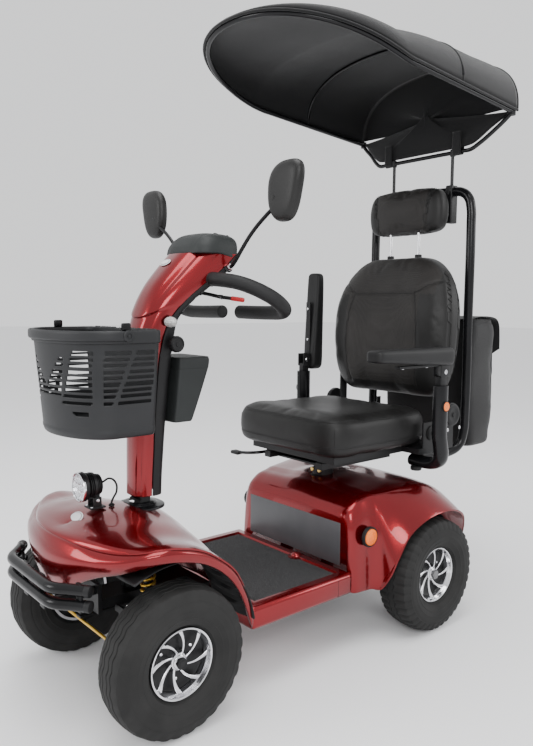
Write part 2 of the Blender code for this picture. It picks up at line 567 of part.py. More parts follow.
# ---- tube frame behind the seat, canopy and bag -----------------------------------------
TUBE_X = 0.212
TUBE_TOP = 1.408
path = [(TUBE_X - 0.030, RY + 0.120, 0.508), (TUBE_X - 0.030, RY + 0.200, 0.504), (TUBE_X - 0.018, RY + 0.280, 0.506),
        (TUBE_X - 0.006, BACK_Y - 0.012, 0.540), (TUBE_X, BACK_Y, 0.620), (TUBE_X, BACK_Y, 1.300),
        (TUBE_X - 0.004, BACK_Y, 1.360), (TUBE_X - 0.030, BACK_Y, TUBE_TOP - 0.008), (TUBE_X - 0.070, BACK_Y, TUBE_TOP)]
left = [Vector(p) for p in path]
path = left + [Vector((-p.x, p.y, p.z)) for p in left[::-1]]
back_tube = tube("seat_back_tube", path, TUBE_R, 8, "black_steel", side=(1, 0, 0))
join(back_tube, *[box(f"g_shoe{s}", (s * (TUBE_X - 0.030) - 0.012, RY + 0.115, 0.512),
                      (s * (TUBE_X - 0.030) + 0.012, RY + 0.148, FRAME_LOW + 0.006 - GAP), "black_steel")
                  for s in (-1, 1)],
     *[box(f"g_sleeve{s}", (s * 0.129 - 0.013, BACK_Y - 0.019, 1.300), (s * 0.129 + 0.013, BACK_Y + 0.019, 1.430),
           "black_steel") for s in (-1, 1)])
cut(back_tube, *[rod(f"g_sleevebore{s}", (s * 0.129, BACK_Y, 1.310), (s * 0.129, BACK_Y, 1.45), 0.0075, 8,
                     "black_steel") for s in (-1, 1)])

ROOF_SLOPE = 0.077
ROOF_BACK, ROOF_SIDE_END, ROOF_NOSE = RY + 0.386, RY - 0.178, RY - 0.556
ROOF_LIFT = 0.068        # how far the nose stands up from the sides' slope
ROOF_R = 0.008


def roof_edge(t, inset=0.0, lift=0.0):
    """The canopy's edge from back left (0) round the front to back right (1)."""
    half = CANOPY_HALF - inset
    straight = 0.34
    if t < straight or t > 1 - straight:
        s = 1 if t < straight else -1
        along = (t if t < straight else 1 - t) / straight
        x, y = s * half, ROOF_BACK - inset + (ROOF_SIDE_END - ROOF_BACK + inset) * along
        nose = 0.0
    else:
        a = math.pi * (t - straight) / (1 - 2 * straight)
        power = 0.94
        x = half * math.copysign(abs(math.cos(a)) ** power, math.cos(a))
        nose = max(0.0, math.sin(a)) ** power
        y = ROOF_SIDE_END + (ROOF_NOSE + inset - ROOF_SIDE_END) * nose
    z = ROOF_Z + ROOF_SLOPE * (ROOF_BACK - y) + ROOF_LIFT * nose + lift
    return Vector((x, y, z))


hoop = [roof_edge(i / 28, ROOF_R + 0.004, -0.002) for i in range(29)]
back_bar = [hoop[0], Vector((0.270, RY + 0.358, 1.597)), Vector((0.205, BACK_Y + 0.004, 1.548)),
            Vector((0.190, BACK_Y, 1.542)), Vector((0.100, BACK_Y, 1.542))]
back_bar += [Vector((-p.x, p.y, p.z)) for p in back_bar[::-1]]
canopy_frame = tube("canopy_frame", hoop, ROOF_R, 6, "black_steel", side=(0, 0, 1))
join(canopy_frame, tube("g_bar", back_bar, ROOF_R - 0.0007, 6, "black_steel", side=(0, 1, 0)),
     *[rod(f"g_stay{s}", (s * 0.129, BACK_Y, 1.330), (s * 0.129, BACK_Y, 1.545), 0.006, 8, "chrome") for s in (-1, 1)])

ROOF_ROWS, ROOF_COLUMNS = 12, 10
verts, faces = [], []
for i in range(ROOF_ROWS + 1):
    t = i / ROOF_ROWS * 0.5
    left, right = roof_edge(t, 0.0, 0.008), roof_edge(1 - t, 0.0, 0.008)
    along = min(1.0, max(0.0, (ROOF_BACK - left.y) / (ROOF_BACK - ROOF_NOSE)))
    height = 0.200 * (1 - along ** 2.0) ** 0.9 + 0.002
    for j in range(ROOF_COLUMNS + 1):
        a = math.pi * j / ROOF_COLUMNS
        across = math.copysign(abs(math.cos(a)) ** 0.8, math.cos(a))
        half = (left.x - right.x) / 2
        verts.append((half * across, left.y, left.z + height * max(0.0, math.sin(a)) ** 0.8))
width = ROOF_COLUMNS + 1
for i in range(ROOF_ROWS - 1):
    for j in range(ROOF_COLUMNS):
        a = i * width + j
        faces.append((a, a + 1, a + width + 1, a + width))
skin("canopy_fabric", verts[:ROOF_ROWS * width], faces, "fabric", 0.003)

bag_rings = [rounded(0.198, deep / 2, 0.022, 0, BACK_Y + TUBE_R + 0.006 + deep / 2, z)
             for z, deep in ((0.502, 0.170), (0.560, 0.200), (0.920, BAG_REACH - 0.352), (0.960, 0.190), (0.975, 0.12))]
loft("rear_bag", bag_rings, "fabric")

# ---- steering column and tiller ---------------------------------------------------------
column = rod("steering_column", column_point(0.2185), column_point(0.494), 0.014, 12, "black_steel", PIVOT)
foot = column_point(PLATE_LOW)
join(column,
     box("g_pitman", (-0.012, ROD_Y - 0.010, PLATE_LOW), (0.012, foot.y + 0.016, PLATE_HIGH), "black_steel"),
     box("g_yoke", (-0.028, PIVOT_Y - 0.018, 0.4895), (0.028, PIVOT_Y + 0.010, 0.4955), "black_steel"),
     *[box(f"g_fork{s}", (s * 0.025 - 0.003, PIVOT_Y - 0.014, 0.490), (s * 0.025 + 0.003, PIVOT_Y + 0.012, 0.536),
           "black_steel") for s in (-1, 1)])

stem = rod("tiller_tube", (-0.0215, PIVOT_Y, PIVOT_Z), (0.0215, PIVOT_Y, PIVOT_Z), 0.014, 12, "black_steel", PIVOT)
join(stem, tube("g_stem", [(0, PIVOT_Y, PIVOT_Z + 0.004), (0, FY + 0.085, 0.70), (0, FY + 0.098, 0.86),
                           (0, FY + 0.126, 0.97), (0, FY + 0.148, 1.01)], 0.018, 4, "black_steel", side=(1, 0, 0)))
# height, front, split, back (distances behind the front axle), half width
TILLER_LINES = [
    (0.507, 0.040, 0.080, 0.116, 0.046),
    (0.600, 0.042, 0.083, 0.121, 0.048),
    (0.720, 0.045, 0.088, 0.131, 0.050),
    (0.860, 0.050, 0.098, 0.146, 0.054),
    (0.930, 0.054, 0.110, 0.152, 0.060),
    (0.970, 0.064, 0.125, 0.160, 0.066),
    (1.000, 0.078, 0.146, 0.178, 0.073),
    (1.030, 0.097, 0.175, 0.212, 0.081),
    (1.060, 0.119, 0.212, 0.252, 0.088),
    (1.090, 0.143, 0.252, 0.292, 0.093),
    (1.120, 0.169, 0.290, 0.322, 0.096),
    (1.148, 0.196, 0.318, 0.345, 0.098),
]
SHELL = 0.0035


def channel(z, out_y, in_y, half, face):
    """One level section of a shell that is open towards the other shell."""
    s = 1 if in_y > out_y else -1
    outer = [(-half, in_y), (-half * 0.96, out_y + (in_y - out_y) * 0.45), (-half * face, out_y),
             (half * face, out_y), (half * 0.96, out_y + (in_y - out_y) * 0.45), (half, in_y)]
    inner = []
    for x, y in outer[::-1]:
        step = 0 if y == in_y else s * SHELL
        inner.append((x - math.copysign(SHELL, x), y + step))
    return [(x, FY + y, z) for x, y in outer + inner]


loft("tiller_front_shell", [channel(z, front, split - 0.0004, half, 0.62) for z, front, split, _, half in TILLER_LINES],
     "red_paint", PIVOT)
loft("tiller_rear_shell", [channel(z, back, split + 0.0004, half, 0.75) for z, _, split, back, half in TILLER_LINES],
     "black_plastic", PIVOT)
cap_rings = [rounded(half, deep / 2, 0.030, 0, FY + mid, z)
             for z, half, deep, mid in ((1.1484, 0.098, 0.150, 0.271), (1.175, 0.099, 0.146, 0.278),
                                        (1.195, 0.086, 0.118, 0.280), (1.205, 0.058, 0.074, 0.278))]
loft("console_cap", cap_rings, "grey_plastic", PIVOT)

store_rings = [rounded(0.074, (back - front) / 2, 0.012, 0, FY + (back + front) / 2, z)
               for z, front, back in ((0.700, 0.1320, 0.190), (0.715, 0.1330, 0.200), (0.860, 0.1480, 0.252),
                                      (0.872, 0.1495, 0.248))]
loft("storage_box", store_rings, "grey_plastic", PIVOT)
KNOB = Vector((0.0605, FY + 0.138, 0.908))
turned("tiller_knob", KNOB, (1, 0, 0), [(0, 0.010), (0.008, 0.010), (0.009, 0.021), (0.024, 0.021), (0.027, 0.016)],
       12, "black_plastic")
for s, side in ((1, "left"), (-1, "right")):
    turned(f"indicator_{side}", (s * 0.0700, FY + 0.120, 0.966), (s, -0.2, 0),
           [(0, 0.015), (0.012, 0.017), (0.026, 0.012), (0.031, 0.005)], 12, "clear_lens")

# handlebar: a loop on each side that ends under the rider's thumb
GRIP_R = 0.0165
path = [(0.030, FY + 0.236, 1.082), (0.100, FY + 0.244, 1.078), (0.170, FY + 0.270, 1.068), (0.228, FY + 0.312, 1.040),
        (0.248, FY + 0.348, 1.012), (0.232, FY + 0.372, 0.995), (0.180, FY + 0.378, 0.990), (0.110, FY + 0.376, 0.990),
        (0.042, FY + 0.374, 0.991)]
left = smooth_path(path, 2)
bar = tube("handlebar", left, GRIP_R, 8, "black_plastic", PIVOT, side=(0, 0, 1))
right = tube("g_right", [Vector((-p.x, p.y, p.z)) for p in left], GRIP_R, 8, "black_plastic", side=(0, 0, 1))
join(bar, right, rod("g_middle", (-0.040, FY + 0.2365, 1.082), (0.040, FY + 0.2365, 1.082), GRIP_R - 0.002, 8,
                     "black_plastic"))
for shell in ("tiller_front_shell", "tiller_rear_shell"):
    cut(bpy.data.objects[shell],
        rod("g_barhole", (-0.12, FY + 0.239, 1.082), (0.12, FY + 0.239, 1.082), GRIP_R + 0.006, 12, "black_plastic"))

THROTTLE = Vector((0, FY + 0.262, 1.044))
throttle = rod("throttle_lever", THROTTLE - Vector((0, 0, 0.006)), THROTTLE + Vector((0, 0, 0.008)), 0.014, 12,
               "black_plastic", THROTTLE)
join(throttle, tube("g_wings", [(-0.130, FY + 0.316, 1.024), (-0.070, FY + 0.286, 1.032), (0, FY + 0.268, 1.044),
                                (0.070, FY + 0.286, 1.032), (0.130, FY + 0.316, 1.024)], 0.006, 8, "black_plastic",
                    flat=1.5, side=(0, 1, 0)))

# ---- basket ------------------------------------------------------------------------------
BASKET_BACK = FY + 0.030
BASKET_SIDE = 0.110       # straight part of each side
BASKET_NOSE = 0.114       # how far the round front stands out from it


def basket_ring(k, z, inset):
    """A D shape, straight at the back and round at the front."""
    half = BASKET_HALF * k - inset
    side = BASKET_SIDE * (0.75 + 0.25 * k)
    nose = BASKET_NOSE * k - inset
    ring = [(half * 0.5, BASKET_BACK - inset, z), (-half * 0.5, BASKET_BACK - inset, z),
            (-half * 0.9, BASKET_BACK - inset, z), (-half, BASKET_BACK - inset - 0.020, z)]
    for i in range(9):
        a = math.pi * i / 8
        ring.append((-half * math.cos(a), BASKET_BACK - side - nose * math.sin(a), z))
    return ring + [(half, BASKET_BACK - inset - 0.020, z), (half * 0.9, BASKET_BACK - inset, z)]


BASKET_LOW = BASKET_TOP - BASKET_DEPTH
SKIN = 0.004
basket = loft("basket", [basket_ring(0.80, BASKET_LOW, 0), basket_ring(0.84, BASKET_LOW + 0.012, 0),
                         basket_ring(0.96, BASKET_TOP - 0.030, 0), basket_ring(1.0, BASKET_TOP - 0.028, 0),
                         basket_ring(1.0, BASKET_TOP, 0), basket_ring(1.0, BASKET_TOP, SKIN),
                         basket_ring(0.97, BASKET_TOP - 0.030, SKIN),
                         basket_ring(0.84, BASKET_LOW + 0.012, SKIN), basket_ring(0.82, BASKET_LOW + SKIN, SKIN)],
              "black_plastic", PIVOT)
slots = []
for k in range(5):
    z = BASKET_LOW + 0.045 + 0.036 * k
    for n, (y0, y1) in enumerate(((-0.095, -0.055), (-0.045, -0.010))):
        slots.append(box(f"g_side{k}{n}", (-0.3, BASKET_BACK + y0, z), (0.3, BASKET_BACK + y1, z + 0.012),
                         "black_plastic"))
    for n, (x0, x1) in enumerate(((-0.085, -0.010), (0.010, 0.085))):
        slots.append(box(f"g_nose{k}{n}", (x0, BASKET_BACK - 0.4, z), (x1, BASKET_BACK - 0.150, z + 0.012),
                         "black_plastic"))
combine(basket, "DIFFERENCE", slots, "MANIFOLD")

HANDLE = Vector((0, BASKET_BACK - 0.098, BASKET_TOP - 0.012))
STRAP = 0.004
half = BASKET_HALF + STRAP + 0.0024
path = [(half, HANDLE.y + 0.010, HANDLE.z)]
for i in range(17):
    a = math.pi * i / 16
    out = BASKET_NOSE + STRAP + 0.0024
    path.append((half * math.cos(a), BASKET_BACK - BASKET_SIDE - out * math.sin(a), HANDLE.z))
path.append((-half, HANDLE.y + 0.010, HANDLE.z))
tube("basket_handle", path, STRAP, 6, "black_plastic", HANDLE, flat=2.5, side=(0, 0, 1))

# ---- mirrors and headlight -----------------------------------------------------------------
for s, side in ((1, "left"), (-1, "right")):
    base = Vector((s * 0.0990, FY + 0.292, 1.110))
    path = [base, base + Vector((s * 0.012, 0.0, 0.004)), base + Vector((s * 0.040, 0.003, 0.033)),
            base + Vector((s * 0.090, 0.006, 0.084)), base + Vector((s * 0.145, 0.008, 0.126)),
            (s * 0.272, FY + 0.300, 1.252)]
    mirror = tube(f"mirror_{side}", smooth_path(path, 2), 0.0055, 8, "black_steel", base, side=(0, 1, 0))
    face = Vector((s * 0.304, FY + 0.306, 1.290))
    lean = 0.10 * s
    head = []
    for along, k in ((-0.016, 0.55), (-0.010, 0.88), (0.008, 1.0), (0.012, 0.93)):
        ring = []
        for i in range(12):
            a = 2 * math.pi * i / 12
            x, z = 0.059 * k * math.cos(a), 0.074 * k * math.sin(a)
            ring.append(face + Vector((x + lean * z, along, z)))
        head.append(ring)
    join(mirror, loft(f"g_head{side}", head, "black_plastic"))

LAMP = Vector((0, FY - 0.101, 0.553))
HOOD_TOP = 0.4935
LAMP_FOOT = Vector((0, FY - 0.062, HOOD_TOP))
bracket = box("headlight_bracket", LAMP_FOOT + Vector((-0.020, -0.020, 0)), LAMP_FOOT + Vector((0.020, 0.022, 0.005)),
              "black_steel")
join(bracket, *[box(f"g_cheek{s}", (s * 0.0155 - 0.0015, LAMP_FOOT.y - 0.012, HOOD_TOP + 0.003),
                    (s * 0.0155 + 0.0015, LAMP_FOOT.y + 0.012, HOOD_TOP + 0.030), "black_steel") for s in (-1, 1)])
TILT = Vector((0, LAMP_FOOT.y, HOOD_TOP + 0.022))
lamp = turned("headlight", LAMP, (0, -1, 0),
              [(-0.052, 0.016), (-0.046, 0.028), (-0.014, 0.031), (-0.012, 0.037), (0.004, 0.037), (0.007, 0.030)], 20,
              "black_plastic", TILT)
join(lamp, box("g_ear", (-0.0125, LAMP_FOOT.y - 0.010, HOOD_TOP + 0.010), (0.0125, LAMP_FOOT.y + 0.010, LAMP.z - 0.020),
               "black_plastic"))
LEAD_R = 0.0028
lead = [(0, LAMP.y + 0.0530, LAMP.z), (0, LAMP.y + 0.064, LAMP.z + 0.004), (0.002, LAMP.y + 0.080, LAMP.z + 0.010),
        (0.006, LAMP.y + 0.094, LAMP.z), (0.010, LAMP.y + 0.096, LAMP.z - 0.024), (0.012, LAMP.y + 0.084, LAMP.z - 0.042),
        (0.012, LAMP.y + 0.080, LAMP.z - 0.052), (0.012, LAMP.y + 0.080, 0.4965)]
tube("headlight_cable", smooth_path(lead, 2), LEAD_R, 8, "black_plastic", side=(1, 0, 0))
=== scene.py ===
"""Looks of a four-wheeled mobility scooter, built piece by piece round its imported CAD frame.

Metres, +Z up. Forward is -Y and the rider's left is +X. The sections follow the order in which
the scooter is put together, from the steel frame to the mirrors.
"""

import math

import bmesh
import bpy
from mathutils import Matrix, Vector, noise


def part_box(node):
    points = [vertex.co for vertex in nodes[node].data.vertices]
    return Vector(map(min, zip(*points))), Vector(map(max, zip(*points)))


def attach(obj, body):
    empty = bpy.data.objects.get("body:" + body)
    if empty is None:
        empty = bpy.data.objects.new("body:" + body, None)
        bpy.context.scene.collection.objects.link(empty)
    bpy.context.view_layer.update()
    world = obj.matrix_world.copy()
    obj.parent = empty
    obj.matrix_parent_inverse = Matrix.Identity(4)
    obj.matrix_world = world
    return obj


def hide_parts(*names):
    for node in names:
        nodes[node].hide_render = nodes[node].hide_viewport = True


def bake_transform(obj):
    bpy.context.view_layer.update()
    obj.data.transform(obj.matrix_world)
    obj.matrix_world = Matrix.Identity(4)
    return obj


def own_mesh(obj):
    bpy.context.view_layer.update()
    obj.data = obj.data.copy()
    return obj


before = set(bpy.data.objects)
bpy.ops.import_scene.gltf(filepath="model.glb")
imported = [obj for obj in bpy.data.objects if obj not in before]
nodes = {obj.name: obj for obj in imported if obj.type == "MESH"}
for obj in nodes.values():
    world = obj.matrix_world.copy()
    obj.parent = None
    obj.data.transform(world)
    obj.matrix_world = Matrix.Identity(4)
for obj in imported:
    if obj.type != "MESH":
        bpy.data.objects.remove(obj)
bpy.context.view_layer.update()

# ---- Studio -----------------------------------------------------------------------------
# A pale floor that runs out of sight, soft boxes overhead and beside the scooter, and a camera
# at the height of the seat's armrests, in front of the rider's left.
bpy.ops.object.select_all(action="DESELECT")
bpy.ops.mesh.primitive_plane_add(size=60, location=(0, 0, -0.0004))
floor = bpy.context.object
floor.name = "studio_floor"
paper = bpy.data.materials.new("studio_paper")
paper.use_nodes = True
paper_shader = paper.node_tree.nodes["Principled BSDF"]
paper_shader.inputs["Base Color"].default_value = (0.86, 0.86, 0.87, 1)
paper_shader.inputs["Roughness"].default_value = 0.9
floor.data.materials.append(paper)

sky = bpy.data.worlds.new("studio_air")
sky.use_nodes = True
sky.node_tree.nodes["Background"].inputs["Color"].default_value = (0.985, 0.99, 1.0, 1)
sky.node_tree.nodes["Background"].inputs["Strength"].default_value = 1.18
bpy.context.scene.world = sky


def soft_box(name, place, aim, size, power):
    """A square lamp at a place, turned to an aim."""
    lamp = bpy.data.lights.new(name, "AREA")
    lamp.shape = "RECTANGLE"
    lamp.size, lamp.size_y = size
    lamp.energy = power
    holder = bpy.data.objects.new(name, lamp)
    bpy.context.scene.collection.objects.link(holder)
    holder.location = place
    holder.rotation_euler = (Vector(aim) - Vector(place)).to_track_quat("-Z", "Y").to_euler()


soft_box("overhead", (0.4, -0.6, 4.2), (0, -0.1, 0.5), (2.2, 3.2), 130)
soft_box("front_side", (3.6, -2.6, 2.6), (0, -0.2, 0.6), (2.0, 1.6), 95)
soft_box("nose_side", (-1.4, -4.2, 2.2), (0, -0.4, 0.5), (1.4, 1.8), 60)
soft_box("tail_side", (2.8, 3.2, 2.4), (0, 0.4, 0.8), (1.4, 1.8), 45)

lens = bpy.data.cameras.new("camera")
lens.lens = 33.56
lens.clip_start = 0.05
camera = bpy.data.objects.new("camera", lens)
bpy.context.scene.collection.objects.link(camera)
camera.location = (1.6066, -1.4676, 1.0092)
turn = Matrix.Rotation(math.radians(49.735), 3, "Z")
tip = Matrix.Rotation(math.radians(84.469), 3, "X")
camera.rotation_euler = (turn @ tip @ Matrix.Rotation(0.00616, 3, "Z")).to_euler()
bpy.context.scene.camera = camera

# ---- Steel frame, batteries and drive ------------------------------------------------------
# Welded square and flat steel bars in black powder coat carry everything. The batteries are
# two cased blocks on the rails, and the motor, gears and axle tube are one grey casting.
FRONT_AXLE, REAR_AXLE = -0.617, 0.297


def surface(name, dark, light, rough, metal=0.0, grain=260.0, bump=0.12, cloud=7.0, coat=0.0):
    """A finish: colour and gloss drift slowly over the piece, under a fine grain."""
    made = bpy.data.materials.new(name)
    made.use_nodes = True
    tree, link = made.node_tree.nodes, made.node_tree.links.new
    shader = tree["Principled BSDF"]
    shader.inputs["Metallic"].default_value = metal
    shader.inputs["Coat Weight"].default_value = coat
    shader.inputs["Coat Roughness"].default_value = 0.04
    shader.inputs["Specular IOR Level"].default_value = 0.26 if max(light) < 0.06 and metal < 0.5 else 0.5
    place = tree.new("ShaderNodeTexCoord")
    drift = tree.new("ShaderNodeTexNoise")
    drift.inputs["Scale"].default_value = cloud
    drift.inputs["Detail"].default_value = 5
    link(place.outputs["Object"], drift.inputs["Vector"])
    tint = tree.new("ShaderNodeValToRGB")
    tint.color_ramp.elements[0].position, tint.color_ramp.elements[1].position = 0.36, 0.66
    tint.color_ramp.elements[0].color = (*dark, 1)
    tint.color_ramp.elements[1].color = (*light, 1)
    link(drift.outputs["Fac"], tint.inputs["Fac"])
    link(tint.outputs["Color"], shader.inputs["Base Color"])
    gloss = tree.new("ShaderNodeMapRange")
    gloss.inputs["To Min"].default_value, gloss.inputs["To Max"].default_value = rough
    link(drift.outputs["Fac"], gloss.inputs["Value"])
    link(gloss.outputs["Result"], shader.inputs["Roughness"])
    speck = tree.new("ShaderNodeTexNoise")
    speck.inputs["Scale"].default_value = grain
    speck.inputs["Detail"].default_value = 3
    link(place.outputs["Object"], speck.inputs["Vector"])
    relief = tree.new("ShaderNodeBump")
    relief.inputs["Strength"].default_value = bump
    relief.inputs["Distance"].default_value = 0.001
    link(speck.outputs["Fac"], relief.inputs["Height"])
    link(relief.outputs["Normal"], shader.inputs["Normal"])
    return made


powder_black = surface("powder_black", (0.0060, 0.0060, 0.0066), (0.0108, 0.0108, 0.0114), (0.34, 0.5), 0.0, 900, 0.10)
gloss_black = surface("gloss_black", (0.0050, 0.0050, 0.0055), (0.0080, 0.0080, 0.0090), (0.16, 0.26), 0.1, 500, 0.03)
cast_metal = surface("cast_metal", (0.16, 0.16, 0.165), (0.26, 0.26, 0.265), (0.40, 0.58), 0.8, 420, 0.35)
case_black = surface("case_black", (0.0066, 0.0066, 0.0072), (0.0110, 0.0110, 0.0116), (0.42, 0.56), 0.0, 620, 0.2)


def softened(node, made_of, width=0.0015):
    """A CAD node with its finish and a small rounding on its edges."""
    piece = nodes[node]
    piece.data.materials.clear()
    piece.data.materials.append(made_of)
    piece.modifiers.new("weld", "WELD").merge_threshold = 1e-5
    edge = piece.modifiers.new("edge", "BEVEL")
    edge.width = width
    edge.segments = 2
    edge.limit_method = "ANGLE"
    edge.angle_limit = math.radians(40)


for node in ("main_frame", "front_arm_left", "front_arm_right", "knuckle_left", "knuckle_right",
             "steering_column", "tiller_tube", "seat_rails"):
    softened(node, powder_black)
softened("battery_pack", case_black, 0.004)
softened("transaxle", cast_metal, 0.002)

# ---- Front shock absorbers and steering rod --------------------------------------------------
# Each front arm is held up by an oil damper inside a coil spring of golden zinc-plated wire. A
# plated rod joins the two steering levers in front of the axle.
zinc_wire = surface("zinc_wire", (0.62, 0.36, 0.035), (0.80, 0.52, 0.10), (0.24, 0.38), 0.9, 700, 0.08)
bright_steel = surface("bright_steel", (0.62, 0.62, 0.64), (0.75, 0.75, 0.77), (0.12, 0.24), 1.0, 800, 0.05)


def open_piece(name):
    """A new mesh at the origin, open in edit mode with nothing in it yet."""
    bpy.ops.object.select_all(action="DESELECT")
    bpy.ops.object.add(type="MESH", enter_editmode=True, location=(0, 0, 0))
    piece = bpy.context.object
    piece.name = piece.data.name = name
    return piece


def close_piece(piece, made_of, angle=35):
    """Merges doubles, turns the faces outwards, smooths the mesh and gives it its finish."""
    bpy.ops.mesh.select_all(action="SELECT")
    bpy.ops.mesh.remove_doubles(threshold=4e-5)
    bpy.ops.mesh.normals_make_consistent(inside=False)
    bpy.ops.object.mode_set(mode="OBJECT")
    bpy.ops.object.shade_smooth_by_angle(angle=math.radians(angle))
    piece.data.materials.append(made_of)
    return piece


def turned(name, made_of, centre, axis, profile, steps=48, angle=35):
    """A profile of (along, radius) spun about an axis, as on a lathe."""
    piece = open_piece(name)
    axis = Vector(axis).normalized()
    out = axis.orthogonal().normalized()
    drawn = bmesh.from_edit_mesh(piece.data)
    line = [drawn.verts.new(Vector(centre) + axis * along + out * max(radius, 1e-5))
            for along, radius in profile]
    for a, b in zip(line, line[1:]):
        drawn.edges.new((a, b))
    bmesh.update_edit_mesh(piece.data)
    bpy.ops.mesh.select_all(action="SELECT")
    bpy.ops.mesh.spin(steps=steps, angle=2 * math.pi, center=centre, axis=axis)
    return close_piece(piece, made_of, angle)


def bent(name, made_of, points, radius, sides=16, detail=6):
    """A round bar or tube along a smooth line through the points."""
    bpy.ops.object.select_all(action="DESELECT")
    bpy.ops.curve.primitive_bezier_curve_add(location=(0, 0, 0))
    piece = bpy.context.object
    piece.name = piece.data.name = name
    line = piece.data.splines[0]
    line.bezier_points.add(len(points) - 2)
    for point, place in zip(line.bezier_points, points):
        point.co = place
        point.handle_left_type = point.handle_right_type = "AUTO"
    piece.data.resolution_u = detail
    piece.data.bevel_depth = radius
    piece.data.bevel_resolution = max(0, sides // 2 - 2)
    piece.data.use_fill_caps = True
    bpy.ops.object.convert(target="MESH")
    piece = bpy.context.object
    bpy.ops.object.mode_set(mode="EDIT")
    return close_piece(piece, made_of, 50)


def block(name, made_of, low, high, edge=0.002, segments=2):
    """A block between two corners with its edges rounded."""
    piece = open_piece(name)
    low, high = Vector(low), Vector(high)
    bpy.ops.mesh.primitive_cube_add(size=1, location=(low + high) / 2, scale=high - low)
    bpy.ops.mesh.bevel(offset=edge, segments=segments, affect="EDGES")
    return close_piece(piece, made_of)


def as_one(name, parts, body, slot, *stands_for):
    """Joins the parts of a piece, and says what it rides on and which CAD nodes it stands for."""
    bpy.ops.object.select_all(action="DESELECT")
    for part in parts:
        part.select_set(True)
    bpy.context.view_layer.objects.active = parts[0]
    if len(parts) > 1:
        bpy.ops.object.join()
    piece = bpy.context.object
    piece.name = piece.data.name = name
    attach(piece, body)
    if stands_for:
        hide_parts(*stands_for)
    return piece


SHOCK_LOW, SHOCK_HIGH = 0.2263, 0.4046
for s, side in ((1, "left"), (-1, "right")):
    foot = Vector((s * 0.155, FRONT_AXLE, SHOCK_LOW))
    turns, wire = 8.5, 0.0031
    coil = [foot + Vector((0.0172 * math.cos(a), 0.0172 * math.sin(a), 0.033 + 0.118 * a / (2 * math.pi * turns)))
            for a in (2 * math.pi * turns * k / 102 for k in range(103))]
    parts = [
        bent("spring", zinc_wire, coil, wire, 8, 2),
        turned("damper", powder_black, foot, (0, 0, 1),
               [(0.0, 0), (0.0, 0.010), (0.006, 0.012), (0.026, 0.012), (0.027, 0.0200), (0.031, 0.0200),
                (0.032, 0.0115), (0.110, 0.0115), (0.111, 0.006), (0.152, 0.006), (0.153, 0.0200), (0.158, 0.0200),
                (0.160, 0.013), (0.1775, 0.012), (0.1778, 0)], 24),
        turned("rod_end", bright_steel, foot + Vector((0, 0, 0.110)), (0, 0, 1), [(0, 0.0045), (0.044, 0.0045)], 16),
    ]
    shock = as_one(f"shock_absorber_{side}", parts, "root", "zinc", f"shock_{side}")
    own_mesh(shock)

low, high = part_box("tie_rod")
rod_middle = (low + high) / 2
reach = high.x
parts = [turned("rod", zinc_wire, rod_middle, (1, 0, 0),
                [(-reach, 0), (-reach, 0.0055), (-reach + 0.020, 0.0055), (-reach + 0.021, 0.0042),
                 (reach - 0.021, 0.0042), (reach - 0.020, 0.0055), (reach, 0.0055), (reach, 0)], 16)]
parts += [turned("nut", bright_steel, rod_middle + Vector((s * (reach - 0.030), 0, 0)), (1, 0, 0),
                 [(-0.004, 0), (-0.004, 0.006), (0.004, 0.006), (0.004, 0)], 6) for s in (-1, 1)]
as_one("steering_rod", parts, "tie_rod", "zinc", "tie_rod")

# ---- Wheels -------------------------------------------------------------------------------------
# Air tyres of ribbed black rubber on cast alloy rims: a polished lip, a black dish set back in it
# and eight thin curved spokes. The front treads run round in waves, the rear ones are blocks.
rubber = surface("tyre_rubber", (0.0104, 0.0103, 0.0101), (0.0187, 0.0184, 0.0180), (0.62, 0.82), 0.0, 420, 0.35, 14)
polished = surface("polished_alloy", (0.66, 0.66, 0.68), (0.80, 0.80, 0.82), (0.09, 0.20), 1.0, 340, 0.05, 16)
dish_black = surface("dish_black", (0.006, 0.006, 0.0065), (0.012, 0.012, 0.013), (0.28, 0.42), 0.0, 500, 0.1)
FRONT_WHEEL_X, REAR_WHEEL_X = 0.270, 0.310
FRONT_TYRE_R, REAR_TYRE_R = 0.180, 0.176


